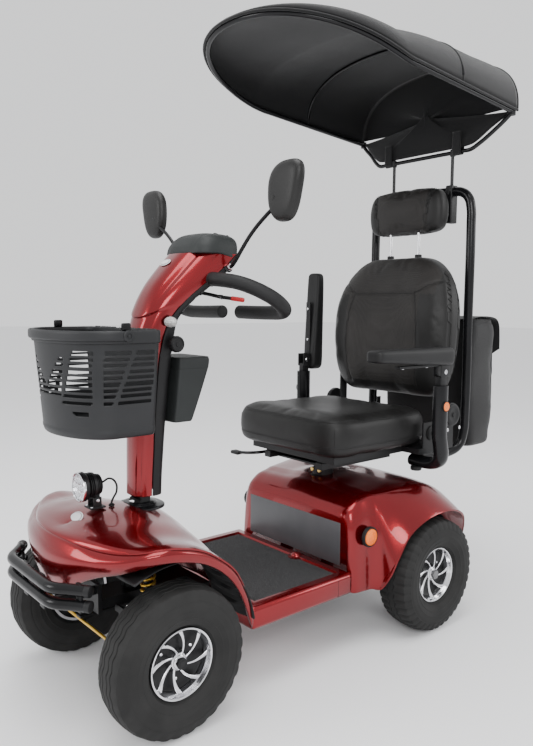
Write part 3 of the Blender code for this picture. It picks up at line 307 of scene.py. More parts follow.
def tyre(name, s, centre, radius, half, wavy, body, node):
    """A tyre's section spun about the axle, with the tread then worked into it."""
    shoulder = half * 0.86
    waves = 30 if wavy else 40
    steps = waves * (6 if wavy else 5)
    tread = [-0.80, -0.70, -0.66, -0.48, -0.44, -0.40, -0.22, -0.18, -0.14, 0.14, 0.18, 0.22, 0.40, 0.44, 0.48,
             0.66, 0.70, 0.80]
    grooves = (-0.44, -0.18, 0.18, 0.44) if wavy else (-0.18, 0.18)
    wall = [(0.62, 0.0865), (0.70, 0.0905), (0.80, 0.0935), (0.84, 0.100), (0.93, 0.1085), (0.945, 0.1105),
            (0.935, 0.1120), (0.985, 0.1235), (0.995, 0.1255), (0.985, 0.1270), (0.998, 0.1360), (0.985, 0.1450),
            (0.965, 0.1480), (0.975, 0.1500), (0.955, 0.1545), (0.90, 0.1615)]
    shrink = radius / FRONT_TYRE_R
    wall = [(a * half, 0.0865 + (r - 0.0865) * (radius - 0.0865) / (FRONT_TYRE_R - 0.0865)) for a, r in wall]
    profile = [(-a, r) for a, r in wall]
    for t in tread:
        crown = radius - 0.0105 * abs(t) ** 2.4 * shrink
        profile.append((t * half, crown - (0.0042 if t in grooves else 0.0)))
    profile += wall[::-1]
    profile += [(0.56 * half, 0.0865), (-0.56 * half, 0.0865), (-0.62 * half, 0.0865)]
    piece = turned(name, rubber, centre, (1, 0, 0), profile, steps, 28)
    for v in piece.data.vertices:
        out = v.co - Vector(centre)
        reach = math.hypot(out.y, out.z)
        if reach < radius - 0.026:
            continue
        angle = math.atan2(out.z, out.y)
        phase = (angle * waves / (2 * math.pi)) % 1.0
        side = abs(out.x) / shoulder
        if wavy:
            swing = 0.0034 * (4 * abs(phase - 0.5) - 1) * max(0.0, 1 - side ** 6)
            v.co.x += swing
            if side > 0.93 and 0.30 < phase < 0.70:
                v.co.y -= out.y / reach * 0.0016
                v.co.z -= out.z / reach * 0.0016
            continue
        v.co.x += 0.0030 * (4 * abs(phase - 0.5) - 1) * max(0.0, 1 - side ** 4)
        offset = (phase + (0.5 if out.x > 0 else 0.0)) % 1.0
        if side > 0.42 and offset < 0.24:
            v.co.y -= out.y / reach * 0.0052
            v.co.z -= out.z / reach * 0.0052
    return as_one(name, [piece], body, "tyre_rubber", node)


def spoke(name, s, centre, start):
    """One curved spoke: a flattened bar that sweeps from the hub to the lip."""
    piece = open_piece(name)
    bpy.ops.mesh.primitive_grid_add(x_subdivisions=12, y_subdivisions=14, size=1)
    bar = bmesh.from_edit_mesh(piece.data)
    for v in bar.verts:
        a, t = 2 * math.pi * (v.co.x + 0.5), v.co.y + 0.5
        reach = 0.019 + 0.0565 * t
        turn_by = start + s * (0.62 * t ** 0.8)
        width = 0.0030 + 0.0042 * t ** 2.2
        across = width * math.cos(a)
        depth = 0.0185 + 0.007 * t + 0.0028 * math.sin(a) + 0.0010 * math.cos(a)
        angle = turn_by + across / reach
        v.co = Vector(centre) + Vector((s * depth, reach * math.cos(angle), reach * math.sin(angle)))
    bmesh.update_edit_mesh(piece.data)
    return close_piece(piece, polished, 60)


def rim(name, s, centre, body, node):
    """Barrel, black dish, spokes, hub cap and bolts of one wheel."""
    x = Vector(centre)
    out = (s, 0, 0)
    parts = [
        turned("lip", polished, x, out,
               [(-0.0395, 0.0775), (-0.0395, 0.0848), (-0.036, 0.0855), (0.0365, 0.0855), (0.0392, 0.0848),
                (0.0398, 0.0830), (0.0385, 0.0806), (0.0350, 0.0790), (0.0300, 0.0775), (0.0270, 0.0757),
                (0.0240, 0.0750), (0.0120, 0.0742), (-0.0300, 0.0742), (-0.0395, 0.0775)], 96, 30),
        turned("dish", dish_black, x, out,
               [(-0.028, 0.0085), (-0.028, 0.024), (-0.006, 0.028), (-0.006, 0.0745), (0.010, 0.0745),
                (0.0125, 0.0735), (0.0095, 0.069), (0.0065, 0.062), (0.0060, 0.040), (0.0085, 0.030),
                (0.016, 0.0245), (0.0165, 0.0085)], 72, 30),
        turned("hub_cap", bright_steel, x, out,
               [(0.014, 0), (0.014, 0.0215), (0.020, 0.0215), (0.0225, 0.0205), (0.0245, 0.0170), (0.0262, 0.0165),
                (0.0275, 0.0150), (0.0290, 0.0105), (0.0300, 0.0100), (0.0302, 0)], 48, 25),
        turned("axle_nut", polished, x, out,
               [(0.0295, 0), (0.0295, 0.0082), (0.0355, 0.0082), (0.0368, 0.0068), (0.0370, 0.0035), (0.0380, 0.0030),
                (0.0382, 0)], 6, 20),
    ]
    parts += [spoke(f"spoke_{k}", s, centre, 2 * math.pi * k / 8 + 0.15) for k in range(8)]
    for k in range(3):
        a = 2 * math.pi * k / 3 + 0.5
        place = x + Vector((0, 0.047 * math.cos(a), 0.047 * math.sin(a)))
        parts.append(turned("rim_bolt", bright_steel, place, out,
                            [(0.005, 0), (0.005, 0.0042), (0.0095, 0.0042), (0.0105, 0.0030), (0.0106, 0)], 6, 20))
    a = 2.2
    place = x + Vector((0, 0.066 * math.cos(a), 0.066 * math.sin(a)))
    parts.append(turned("valve", case_black, place, out,
                        [(0.008, 0), (0.008, 0.0028), (0.018, 0.0026), (0.019, 0.0034), (0.026, 0.0032), (0.0265, 0)],
                        12, 30))
    return as_one(name, parts, body, "alloy", node)


for s, side in ((1, "left"), (-1, "right")):
    place = (s * FRONT_WHEEL_X, FRONT_AXLE, FRONT_TYRE_R)
    tyre(f"front_tyre_{side}", s, place, FRONT_TYRE_R, 0.052, True, f"front_wheel_{side}", f"front_{side}_tyre")
    rim(f"front_rim_{side}", s, place, f"front_wheel_{side}", f"front_{side}_rim")
    place = (s * REAR_WHEEL_X, REAR_AXLE, REAR_TYRE_R)
    tyre(f"rear_tyre_{side}", s, place, REAR_TYRE_R, 0.059, False, f"rear_wheel_{side}", f"rear_{side}_tyre")
    rim(f"rear_rim_{side}", s, place, f"rear_wheel_{side}", f"rear_{side}_rim")

# ---- Floor pan and mat ------------------------------------------------------------------------------
# A red moulding bolted over the rails, with a raised border round a sunk floor. A mat of short
# black and grey carpet pile lies in it, and a domed cap covers the fixing at its rear edge.
candy_red = surface("candy_red", (0.165, 0.0004, 0.0030), (0.215, 0.0008, 0.0045), (0.20, 0.27), 0.80, 1500, 0.05,
                    3, 0.55)
carpet = surface("carpet_pile", (0.0045, 0.0045, 0.0050), (0.105, 0.105, 0.108), (0.86, 0.98), 0.0, 900, 1.0, 420)
carpet.node_tree.nodes["Color Ramp"].color_ramp.elements[0].position = 0.50

low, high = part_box("floor_pan")
pan = open_piece("pan")
bpy.ops.mesh.primitive_cube_add(size=1, location=(low + high) / 2, scale=high - low)
bpy.ops.mesh.bevel(offset=0.014, segments=5, affect="EDGES")
shape = bmesh.from_edit_mesh(pan.data)
for face in shape.faces:
    face.select = face.normal.z > 0.99 and face.calc_area() > 0.05
bmesh.update_edit_mesh(pan.data)
bpy.ops.mesh.inset(thickness=0.019)
bpy.ops.mesh.inset(thickness=0.004)
bpy.ops.transform.translate(value=(0, 0, -0.0105))
close_piece(pan, candy_red)
sill_seam = [block("seam", case_black, (s * 0.2693 - 0.0008, -0.060, 0.176), (s * 0.2693 + 0.0008, -0.0585, 0.222),
                   0.0003, 1) for s in (-1, 1)]
as_one("floor_moulding", [pan] + sill_seam, "root", "red_paint", "floor_pan")


def pulled(name, made_of, across, along, form, angle=40):
    """A flat grid whose points are each pulled to a place: form(u, v), with u and v from 0 to 1."""
    piece = open_piece(name)
    bpy.ops.mesh.primitive_grid_add(x_subdivisions=across, y_subdivisions=along, size=1)
    drawn = bmesh.from_edit_mesh(piece.data)
    for v in drawn.verts:
        v.co = form(v.co.x + 0.5, v.co.y + 0.5)
    bmesh.update_edit_mesh(piece.data)
    return close_piece(piece, made_of, angle)


def walled(piece, thickness, offset=-1.0, edge=0.0):
    """Gives a sheet its wall, and rounds the wall's rim."""
    bpy.ops.object.select_all(action="DESELECT")
    piece.select_set(True)
    bpy.context.view_layer.objects.active = piece
    wall = piece.modifiers.new("wall", "SOLIDIFY")
    wall.thickness = thickness
    wall.offset = offset
    bpy.ops.object.modifier_apply(modifier="wall")
    if edge:
        rim_edge = piece.modifiers.new("edge", "BEVEL")
        rim_edge.width = edge
        rim_edge.segments = 2
        rim_edge.limit_method = "ANGLE"
        rim_edge.angle_limit = math.radians(50)
        bpy.ops.object.modifier_apply(modifier="edge")
    return piece


low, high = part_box("floor_mat")


def pile(u, v):
    x, y = low.x + (high.x - low.x) * u, low.y + (high.y - low.y) * v
    edge = min(u * (high.x - low.x), (1 - u) * (high.x - low.x), v * (high.y - low.y), (1 - v) * (high.y - low.y))
    drop = 0.004 * max(0.0, 1 - edge / 0.006)
    tuft = 0.0011 * noise.noise(Vector((x * 260, y * 260, 0))) + 0.0006 * noise.noise(Vector((x * 620, y * 620, 3)))
    return Vector((x, y, high.z - 0.0012 + tuft - drop))


mat = walled(pulled("mat", carpet, 190, 130, pile, 180), 0.004)
as_one("carpet_mat", [mat], "root", "carpet", "floor_mat")
dome = turned("dome", candy_red, (0.052, high.y + 0.004, high.z - 0.001), (0, 0, 1),
              [(0, 0.027), (0.0025, 0.027), (0.0035, 0.0255), (0.004, 0.018), (0.008, 0.0165), (0.013, 0.012),
               (0.0155, 0.005), (0.0158, 0)], 32)
dome_screw = turned("dome_screw", powder_black, (0.052, high.y + 0.004, high.z + 0.0140), (0, 0, 1),
                    [(0, 0.0035), (0.0022, 0.0035), (0.0026, 0.0028), (0.0027, 0)], 16)
as_one("fixing_cap", [dome, dome_screw], "root", "red_paint")

# ---- Front fender, hood and arch liners ---------------------------------------------------------------
# The lower shell makes both wheel arches and the nose. The hood is a second red moulding that laps
# over it along a dark seam, and rises to a rounded ridge under the tiller. Black liners close the
# arches from inside.
badge_white = surface("badge_white", (0.62, 0.62, 0.63), (0.72, 0.72, 0.73), (0.25, 0.35), 0.0, 300, 0.03)
badge_grey = surface("badge_grey", (0.20, 0.20, 0.21), (0.28, 0.28, 0.29), (0.3, 0.4), 0.0, 300, 0.03)
# half width, distance behind the axle, lip height, seam height, and the hood's middle line
# (distance behind the axle, height) that each place on the seam rises to
SEAM_LINES = [
    (0.272, 0.238, 0.183, 0.236, 0.259, 0.240), (0.285, 0.202, 0.262, 0.305, 0.242, 0.300),
    (0.297, 0.164, 0.322, 0.362, 0.214, 0.360), (0.306, 0.114, 0.372, 0.405, 0.179, 0.410),
    (0.312, 0.054, 0.408, 0.442, 0.124, 0.450), (0.314, -0.016, 0.428, 0.463, 0.054, 0.474),
    (0.300, -0.060, 0.428, 0.463, 0.000, 0.482), (0.272, -0.094, 0.416, 0.456, -0.036, 0.482),
    (0.232, -0.120, 0.400, 0.450, -0.064, 0.480), (0.180, -0.145, 0.384, 0.449, -0.090, 0.477),
    (0.120, -0.167, 0.358, 0.452, -0.112, 0.472), (0.060, -0.180, 0.330, 0.455, -0.128, 0.468),
    (0.000, -0.185, 0.315, 0.456, -0.136, 0.466),
]
all_round = SEAM_LINES + [(-row[0], *row[1:]) for row in SEAM_LINES[-2::-1]]


def between(rows, t):
    """The row at a share t of a table, on a smooth curve through its rows."""
    place = min(max(t, 0.0), 1.0) * (len(rows) - 1)
    i = min(int(place), len(rows) - 2)
    f = place - i
    four = rows[max(i - 1, 0)], rows[i], rows[i + 1], rows[min(i + 2, len(rows) - 1)]
    return [0.5 * (2 * b + (c - a) * f + (2 * a - 5 * b + 4 * c - d) * f * f + (3 * b - a - 3 * c + d) * f ** 3)
            for a, b, c, d in zip(*four)]


def hood_form(u, v):
    x, y, _, seam, mid_y, mid_z = between(all_round, u)
    t = max(0.0, (v - 0.04) / 0.96)
    rise = (1 - (1 - t) ** 2.3) ** (1 / 2.3)
    point = Vector((x * (1 - t), FRONT_AXLE + y + (mid_y - y) * t, seam + (mid_z - seam) * rise))
    ridge = math.exp(-(point.x / 0.085) ** 4) * 0.5 + math.exp(-(point.x / 0.12) ** 2) * 0.5
    fade = max(0.0, min(1.0, (point.y - FRONT_AXLE + 0.150) / 0.10)) * max(0.0, min(1.0, (0.20 + FRONT_AXLE - point.y) / 0.1))
    point.z += 0.009 * ridge * fade
    side = math.exp(-((abs(point.x) - 0.225) / 0.055) ** 2)
    point.z -= 0.010 * side * fade * (1 if t > 0.05 else t / 0.05)
    if v < 0.04:
        point.z -= 0.005 * (1 - v / 0.04)
    return point


def fender_form(u, v):
    x, y, lip, seam, _, _ = between(all_round, u)
    swell = 0.022 * max(0.0, min(1.0, -y / 0.14))
    rows = [(x * 0.955, y + swell * 0.5, lip + 0.004), (x * 0.995, y, lip - 0.001),
            (x * 1.012, y - swell * 0.75, lip * 0.7 + seam * 0.3), (x * 1.014, y - swell, lip * 0.35 + seam * 0.65),
            (x * 0.990, y - swell * 0.35, seam - 0.004), (x * 0.955, y + 0.004, seam - 0.0005)]
    px, py, pz = between(rows, v)
    return Vector((px, FRONT_AXLE + py, pz))


fender = walled(pulled("fender", candy_red, 110, 22, fender_form), 0.0032)
as_one("front_lower_shell", [fender], "root", "red_paint", "front_fender")
hood = walled(pulled("hood", candy_red, 110, 26, hood_form), 0.0035, edge=0.001)
as_one("front_upper_shell", [hood], "root", "red_paint", "front_hood")

badge_y = FRONT_AXLE - 0.112
lean = Matrix.Rotation(math.radians(38), 4, "X")
ovals = []
for name, made_of, size_x, size_y, lift in (("back", badge_white, 0.0265, 0.0165, 0.0), ("ring", badge_grey, 0.0235, 0.0140, 0.0011),
                                            ("face", badge_white, 0.0215, 0.0122, 0.0016)):
    oval = turned(name, made_of, (0, 0, 0), (0, 0, 1), [(0, 0), (0, 1), (0.0012, 1), (0.0016, 0.96), (0.0018, 0)], 40)
    for v in oval.data.vertices:
        v.co = lean @ Vector((v.co.x * size_x, v.co.y * size_y, v.co.z + lift)) + Vector((0, badge_y, 0.4772))
    ovals.append(oval)
as_one("nose_badge", ovals, "root", "black_plastic")

for s, side in ((1, "left"), (-1, "right")):
    def liner_form(u, v):
        a = math.radians(8 + 110 * v)
        x = 0.105 + 0.182 * u
        reach = 0.236 - 0.004 * math.sin(math.pi * u) - (0.006 if (v * 9) % 1 < 0.5 else 0.0) * math.sin(math.pi * u)
        return Vector((s * x, FRONT_AXLE + reach * math.cos(a), FRONT_TYRE_R + reach * math.sin(a)))

    as_one(f"arch_liner_{side}", [walled(pulled("liner", case_black, 14, 72, liner_form), 0.002)], "root",
           "black_plastic")

# ---- Front bumper ----------------------------------------------------------------------------------------
# Two gloss black steel tubes, bent back at both ends, closed with rubber caps and bolted to two
# brackets on the frame's nose plate.
BUMPER_R = 0.0135
low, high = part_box("front_bumper")
bumper_y, bumper_top = low.y + 0.0136, high.z - 0.0127
parts = []
for z in (bumper_top, bumper_top - 0.036):
    half = [(0.199, 0.060), (0.182, 0.049), (0.165, 0.036), (0.150, 0.024), (0.136, 0.012), (0.118, 0.0035),
            (0.095, 0.0005), (0.060, 0.0)]
    line = [Vector((x, bumper_y + y, z)) for x, y in half] + [Vector((-x, bumper_y + y, z)) for x, y in half[::-1]]
    parts.append(bent("tube", gloss_black, line, BUMPER_R, 20, 5))
    for s in (-1, 1):
        way = Vector((s * 0.017, 0.011, 0)).normalized()
        parts.append(turned("cap", case_black, (s * 0.199, bumper_y + 0.060, z), way,
                            [(-0.010, 0.0136), (0.0005, 0.0139), (0.003, 0.0132), (0.0048, 0.009), (0.0052, 0)], 28))
for s in (-1, 1):
    parts.append(block("bracket", powder_black, (s * 0.050 - 0.014, bumper_y + 0.009, 0.292),
                       (s * 0.050 + 0.014, bumper_y + 0.0145, bumper_top + 0.010), 0.0015))
    parts.append(block("foot", powder_black, (s * 0.050 - 0.009, bumper_y + 0.010, 0.290),
                       (s * 0.050 + 0.009, FRONT_AXLE - 0.0903, 0.308), 0.0015))
    parts.append(block("side_bracket", powder_black, (s * 0.172 - 0.011, bumper_y + 0.044, bumper_top - 0.054),
                       (s * 0.172 + 0.011, bumper_y + 0.052, bumper_top + 0.014), 0.0015))
    for z in (bumper_top, bumper_top - 0.036):
        parts.append(turned("bolt", bright_steel, (s * 0.050, bumper_y + 0.0140, z), (0, 1, 0),
                            [(0, 0.0055), (0.0038, 0.0055), (0.0045, 0.004), (0.0046, 0)], 6))
as_one("nose_bumper", parts, "root", "black_steel", "front_bumper")

# ---- Headlight ---------------------------------------------------------------------------------------------
# A round lamp in a finned black metal body: a bright bezel, a clear cover and seven small lamps
# with their own cups. It tilts in a small screwed bracket, and its lead loops down into the hood.
chrome = surface("chrome", (0.74, 0.74, 0.76), (0.84, 0.84, 0.86), (0.04, 0.10), 1.0, 300, 0.01)
lamp_cup = surface("lamp_cup", (0.78, 0.78, 0.80), (0.90, 0.90, 0.92), (0.10, 0.22), 0.9, 700, 0.25)
lamp_bead = surface("lamp_bead", (0.86, 0.84, 0.74), (0.96, 0.95, 0.88), (0.12, 0.2), 0.0, 500, 0.1)
clear_cover = bpy.data.materials.new("clear_cover")
clear_cover.use_nodes = True
glass_nodes, glass_link = clear_cover.node_tree.nodes, clear_cover.node_tree.links.new
cover_shader = glass_nodes["Principled BSDF"]
cover_shader.inputs["Base Color"].default_value = (0.95, 0.96, 0.98, 1)
cover_shader.inputs["Transmission Weight"].default_value = 0.94
cover_shader.inputs["IOR"].default_value = 1.45
cover_place = glass_nodes.new("ShaderNodeTexCoord")
cover_haze = glass_nodes.new("ShaderNodeTexNoise")
cover_haze.inputs["Scale"].default_value = 60
cover_gloss = glass_nodes.new("ShaderNodeMapRange")
cover_gloss.inputs["To Min"].default_value, cover_gloss.inputs["To Max"].default_value = 0.02, 0.09
glass_link(cover_place.outputs["Object"], cover_haze.inputs["Vector"])
glass_link(cover_haze.outputs["Fac"], cover_gloss.inputs["Value"])
glass_link(cover_gloss.outputs["Result"], cover_shader.inputs["Roughness"])

LAMP = Vector((0, FRONT_AXLE - 0.101, 0.553))
ahead = (0, -1, 0)
fins = [(-0.052, 0), (-0.052, 0.014)]
for k in range(7):
    a = -0.050 + 0.0052 * k
    fins += [(a, 0.0175 + 0.0018 * k), (a, 0.026 + 0.0012 * k), (a + 0.0026, 0.026 + 0.0012 * k),
             (a + 0.0026, 0.0175 + 0.0018 * k)]
fins += [(-0.012, 0.030), (-0.011, 0.0355), (-0.008, 0.0375), (0.001, 0.0378)]
parts = [
    turned("body", powder_black, LAMP, ahead, fins, 48),
    turned("bezel", chrome, LAMP, ahead, [(0.0005, 0.0379), (0.004, 0.0379), (0.0062, 0.0368), (0.0068, 0.0350),
                                          (0.0055, 0.0336), (0.0030, 0.0332), (-0.004, 0.0330)], 64),
    turned("cup", lamp_cup, LAMP, ahead, [(-0.008, 0), (-0.008, 0.029), (0.001, 0.0332)], 48),
    turned("cover", clear_cover, LAMP, ahead, [(0.0022, 0.0334), (0.0040, 0.0330), (0.0058, 0.024), (0.0066, 0.012),
                                               (0.0068, 0), (0.0052, 0), (0.0044, 0.020), (0.0022, 0.0334)], 48),
]
for k in range(7):
    a = math.pi * k / 3
    reach = 0.0 if k == 6 else 0.0195
    bead = LAMP + Vector((reach * math.cos(a), 0, reach * math.sin(a)))
    parts.append(turned("ray_cup", chrome, bead, ahead, [(-0.0072, 0.0042), (-0.0055, 0.0066), (-0.0012, 0.0090),
                                                         (-0.0006, 0.0094), (-0.0012, 0.0097), (-0.0078, 0.0096)], 24))
    parts.append(turned("ray_bead", lamp_bead, bead, ahead, [(-0.0076, 0.0052), (-0.0050, 0.0042), (-0.0034, 0.0018),
                                                             (-0.0032, 0)], 16))
lamp_low, lamp_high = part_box("headlight")
tilt = Vector((0, FRONT_AXLE - 0.062, 0.5155))
for s in (-1, 1):
    parts.append(block("cheek", powder_black, (s * 0.0105 - 0.0022, tilt.y - 0.009, lamp_low.z + 0.006),
                       (s * 0.0105 + 0.0022, tilt.y + 0.009, LAMP.z - 0.022), 0.001))
parts.append(turned("collar", powder_black, LAMP, ahead, [(-0.034, 0.0300), (-0.034, 0.0325), (-0.026, 0.0335), (-0.026, 0.0300)], 40))
as_one("round_headlight", parts, "headlight", "black_plastic", "headlight")

low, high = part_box("headlight_bracket")
parts = [block("base", powder_black, (low.x, low.y, low.z), (high.x, high.y, low.z + 0.005), 0.0018)]
for s in (-1, 1):
    parts.append(block("arm", powder_black, (s * 0.0160 - 0.0014, tilt.y - 0.011, low.z + 0.003),
                       (s * 0.0160 + 0.0014, tilt.y + 0.011, high.z), 0.001))
    parts.append(turned("screw", bright_steel, (s * 0.0172, tilt.y, tilt.z), (s, 0, 0),
                        [(0, 0.0048), (0.0028, 0.0048), (0.0042, 0.0034), (0.0044, 0)], 24))
    parts.append(turned("base_screw", bright_steel, (s * 0.0140, low.y + 0.005, low.z + 0.0048), (0, 0, 1),
                        [(0, 0.0034), (0.002, 0.003), (0.0026, 0)], 16))
as_one("lamp_bracket", parts, "root", "black_steel", "headlight_bracket")

lead = [(0, LAMP.y + 0.0530, LAMP.z), (0, LAMP.y + 0.064, LAMP.z + 0.004), (0.002, LAMP.y + 0.080, LAMP.z + 0.010),
        (0.006, LAMP.y + 0.094, LAMP.z), (0.010, LAMP.y + 0.096, LAMP.z - 0.024),
        (0.012, LAMP.y + 0.084, LAMP.z - 0.042), (0.012, LAMP.y + 0.080, LAMP.z - 0.052),
        (0.012, LAMP.y + 0.080, 0.4965)]
cable = bent("cable", case_black, [Vector(p) for p in lead], 0.0027, 12, 8)
lamp_gland = as_one("lamp_gland", [turned("grommet", case_black, lead[0], (0, 1, 0),
                                          [(-0.003, 0.0062), (0.002, 0.0062), (0.006, 0.0040), (0.0062, 0)], 20)],
                    "headlight", "black_plastic")
hood_gland = as_one("hood_gland", [turned("gland", case_black, (0.012, LAMP.y + 0.080, 0.4935), (0, 0, 1),
                                          [(0, 0.0078), (0.0035, 0.0078), (0.006, 0.0048), (0.0062, 0)], 20)],
                    "root", "black_plastic")
cable.name = "lamp_lead"
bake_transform(cable)
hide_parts("headlight_cable")

# ---- Rear body shell --------------------------------------------------------------------------------------------
# One red moulding over the batteries and the drive, flared round both rear wheels. Its front has
# a flat dark grey panel and each side an orange reflector in a black bezel. The back carries two
# lamps, and the seat post comes up through a raised collar.
panel_grey = surface("panel_grey", (0.0600, 0.0615, 0.0660), (0.0825, 0.0840, 0.0900), (0.38, 0.5), 0.1, 600, 0.12)
orange = surface("orange_reflector", (0.78, 0.10, 0.006), (0.92, 0.20, 0.012), (0.10, 0.22), 0.0, 900, 0.9)
lamp_red = surface("lamp_red", (0.40, 0.004, 0.004), (0.55, 0.010, 0.008), (0.08, 0.2), 0.0, 900, 0.7)
# distance behind the rear axle, half width at the lip, lip height, deck half width, deck height
SHELL_LINES = [
    (-0.2915, 0.250, 0.172, 0.222, 0.384), (-0.286, 0.258, 0.169, 0.231, 0.398), (-0.274, 0.265, 0.168, 0.238, 0.414),
    (-0.245, 0.269, 0.168, 0.242, 0.433), (-0.215, 0.274, 0.168, 0.244, 0.440), (-0.196, 0.296, 0.169, 0.247, 0.444),
    (-0.184, 0.324, 0.215, 0.250, 0.446), (-0.168, 0.336, 0.262, 0.252, 0.447), (-0.125, 0.346, 0.330, 0.256, 0.450),
    (-0.050, 0.353, 0.366, 0.262, 0.455), (0.030, 0.354, 0.374, 0.262, 0.452), (0.100, 0.350, 0.362, 0.254, 0.428),
    (0.160, 0.334, 0.332, 0.240, 0.392), (0.210, 0.304, 0.278, 0.220, 0.350), (0.246, 0.270, 0.220, 0.200, 0.300),
    (0.258, 0.254, 0.212, 0.186, 0.270),
]
POST_Y = REAR_AXLE - 0.156


def shell_form(u, v):
    y, lip_x, lip, deck_x, deck = between(SHELL_LINES, v)
    half = [(lip_x * 0.962, lip + 0.004), (lip_x, lip), (lip_x * 0.62 + deck_x * 0.38 + 0.006, lip + (deck - lip) * 0.34),
            (lip_x * 0.22 + deck_x * 0.78 + 0.010, lip + (deck - lip) * 0.68),
            (deck_x + 0.006, lip + (deck - lip) * 0.88), (deck_x - 0.016, deck - 0.004), (deck_x * 0.72, deck + 0.001),
            (deck_x * 0.35, deck + 0.003), (0.0, deck + 0.004)]
    whole = half + [(-x, z) for x, z in half[-2::-1]]
    x, z = between(whole, u)
    around_post = math.hypot(x, REAR_AXLE + y - POST_Y)
    z += 0.008 / (1 + math.exp((around_post - 0.105) / 0.012))
    return Vector((x, REAR_AXLE + y, z))


shell = pulled("shell", candy_red, 120, 90, shell_form, 50)
bpy.ops.object.mode_set(mode="EDIT")
bpy.ops.mesh.select_all(action="DESELECT")
shape = bmesh.from_edit_mesh(shell.data)
front_rim = [e for e in shape.edges if e.is_boundary and all(v.co.y < REAR_AXLE - 0.2914 for v in e.verts)]
back_rim = [e for e in shape.edges if e.is_boundary and all(v.co.y > REAR_AXLE + 0.2579 for v in e.verts)]
for rim_edges in (front_rim, back_rim):
    bmesh.ops.contextual_create(shape, geom=rim_edges + list({v for e in rim_edges for v in e.verts}))
bmesh.update_edit_mesh(shell.data)
bpy.ops.mesh.select_all(action="SELECT")
bpy.ops.mesh.normals_make_consistent(inside=False)
bpy.ops.object.mode_set(mode="OBJECT")
bpy.ops.object.shade_smooth_by_angle(angle=math.radians(40))
walled(shell, 0.0035)
as_one("rear_body_shell", [shell], "root", "red_paint", "rear_shroud")

front_face = REAR_AXLE - 0.2915
panel = block("panel", panel_grey, (-0.212, front_face - 0.0012, 0.236), (0.212, front_face + 0.002, 0.366), 0.001)
as_one("front_panel", [panel], "root", "grey_plastic")

for s, side in ((1, "left"), (-1, "right")):
    low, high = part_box(f"side_reflector_{side}")
    eye = Vector((s * min(abs(low.x), abs(high.x)), (low.y + high.y) / 2, (low.z + high.z) / 2))
    facets = [turned("bezel", case_black, eye, (s, 0, 0), [(-0.004, 0), (-0.004, 0.0305), (0.0045, 0.0305), (0.0068, 0.0290),
                                                           (0.0072, 0.0262), (0.0050, 0.0250), (0.0050, 0)], 48),
              turned("lens", orange, eye, (s, 0, 0), [(0.0048, 0.0252), (0.0085, 0.0240), (0.0105, 0.0190), (0.0112, 0.0150), (0.0104, 0.0140), (0.0112, 0.0130),
                                                      (0.0118, 0.0070), (0.0110, 0.0060), (0.0119, 0.0050), (0.0120, 0)], 48)]
    as_one(f"side_marker_{side}", facets, "root", "orange_lens", f"side_reflector_{side}")
    back = []
    for z, made_of, tall in ((0.318, lamp_red, 0.040), (0.276, orange, 0.030)):
        place = Vector((s * 0.150, REAR_AXLE + (0.236 if z > 0.3 else 0.2585), z))
        back.append(block("lamp_case", case_black, place + Vector((-0.042, -0.010, -tall / 2 - 0.004)),
                          place + Vector((0.042, 0.006, tall / 2 + 0.004)), 0.003))
        back.append(block("lamp_lens", made_of, place + Vector((-0.038, 0.002, -tall / 2)),
                          place + Vector((0.038, 0.011, tall / 2)), 0.004, 3))
    as_one(f"rear_lamp_{side}", back, "root", "orange_lens")

# ---- Seat post, slides and lever ---------------------------------------------------------------------
# A cast swivel head on a steel post, held by two brass-coloured bolts, carries the pressed steel
# slides and the seat frame. A cranked lever with a flat paddle frees the swivel.
brass = surface("brass_plated", (0.52, 0.34, 0.10), (0.66, 0.45, 0.16), (0.2, 0.34), 0.95, 500, 0.1)
softened("seat_post", cast_metal, 0.003)
softened("seat_frame", powder_black, 0.003)

parts = []
for s in (-1, 1):
    parts.append(turned("bolt", brass, (s * 0.016, POST_Y - 0.030, 0.474), (0, -1, 0),
                        [(-0.012, 0), (-0.012, 0.0045), (0, 0.0045), (0, 0.0075), (0.005, 0.0075), (0.006, 0.006),
                         (0.0062, 0)], 6, 20))
parts.append(turned("collar", powder_black, (0, POST_Y, 0.455), (0, 0, 1),
                    [(0, 0.0255), (0, 0.034), (0.022, 0.034), (0.026, 0.031), (0.026, 0.0255), (0, 0.0255)], 40))
parts.append(turned("dust_ring", case_black, (0, POST_Y, 0.4485), (0, 0, 1),
                    [(0, 0.030), (0, 0.052), (0.004, 0.050), (0.009, 0.040), (0.010, 0.032), (0, 0.030)], 40))
as_one("post_clamp", parts, "root", "cast_grey")

low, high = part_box("seat_lever")
start = Vector((-0.150, REAR_AXLE - 0.260, 0.522))
line = [start, start + Vector((0, -0.030, 0)), start + Vector((-0.004, -0.050, 0)), start + Vector((-0.030, -0.068, -0.003)),
        start + Vector((-0.075, -0.076, -0.008))]
paddle = block("paddle", case_black, start + Vector((-0.106, -0.088, -0.0155)), start + Vector((-0.066, -0.062, -0.0035)),
               0.005, 4)
as_one("swivel_lever", [bent("lever", gloss_black, line, 0.0052, 14), paddle], "seat_lever", "black_steel", "seat_lever")

# ---- Seat cushion, backrest and headrest ------------------------------------------------------------------
# Foam covered in black grained leather. Panels are joined by rolled seams with a row of stitches on
# each side. The backrest's middle is perforated, and two chrome posts carry the headrest.
import numpy as np

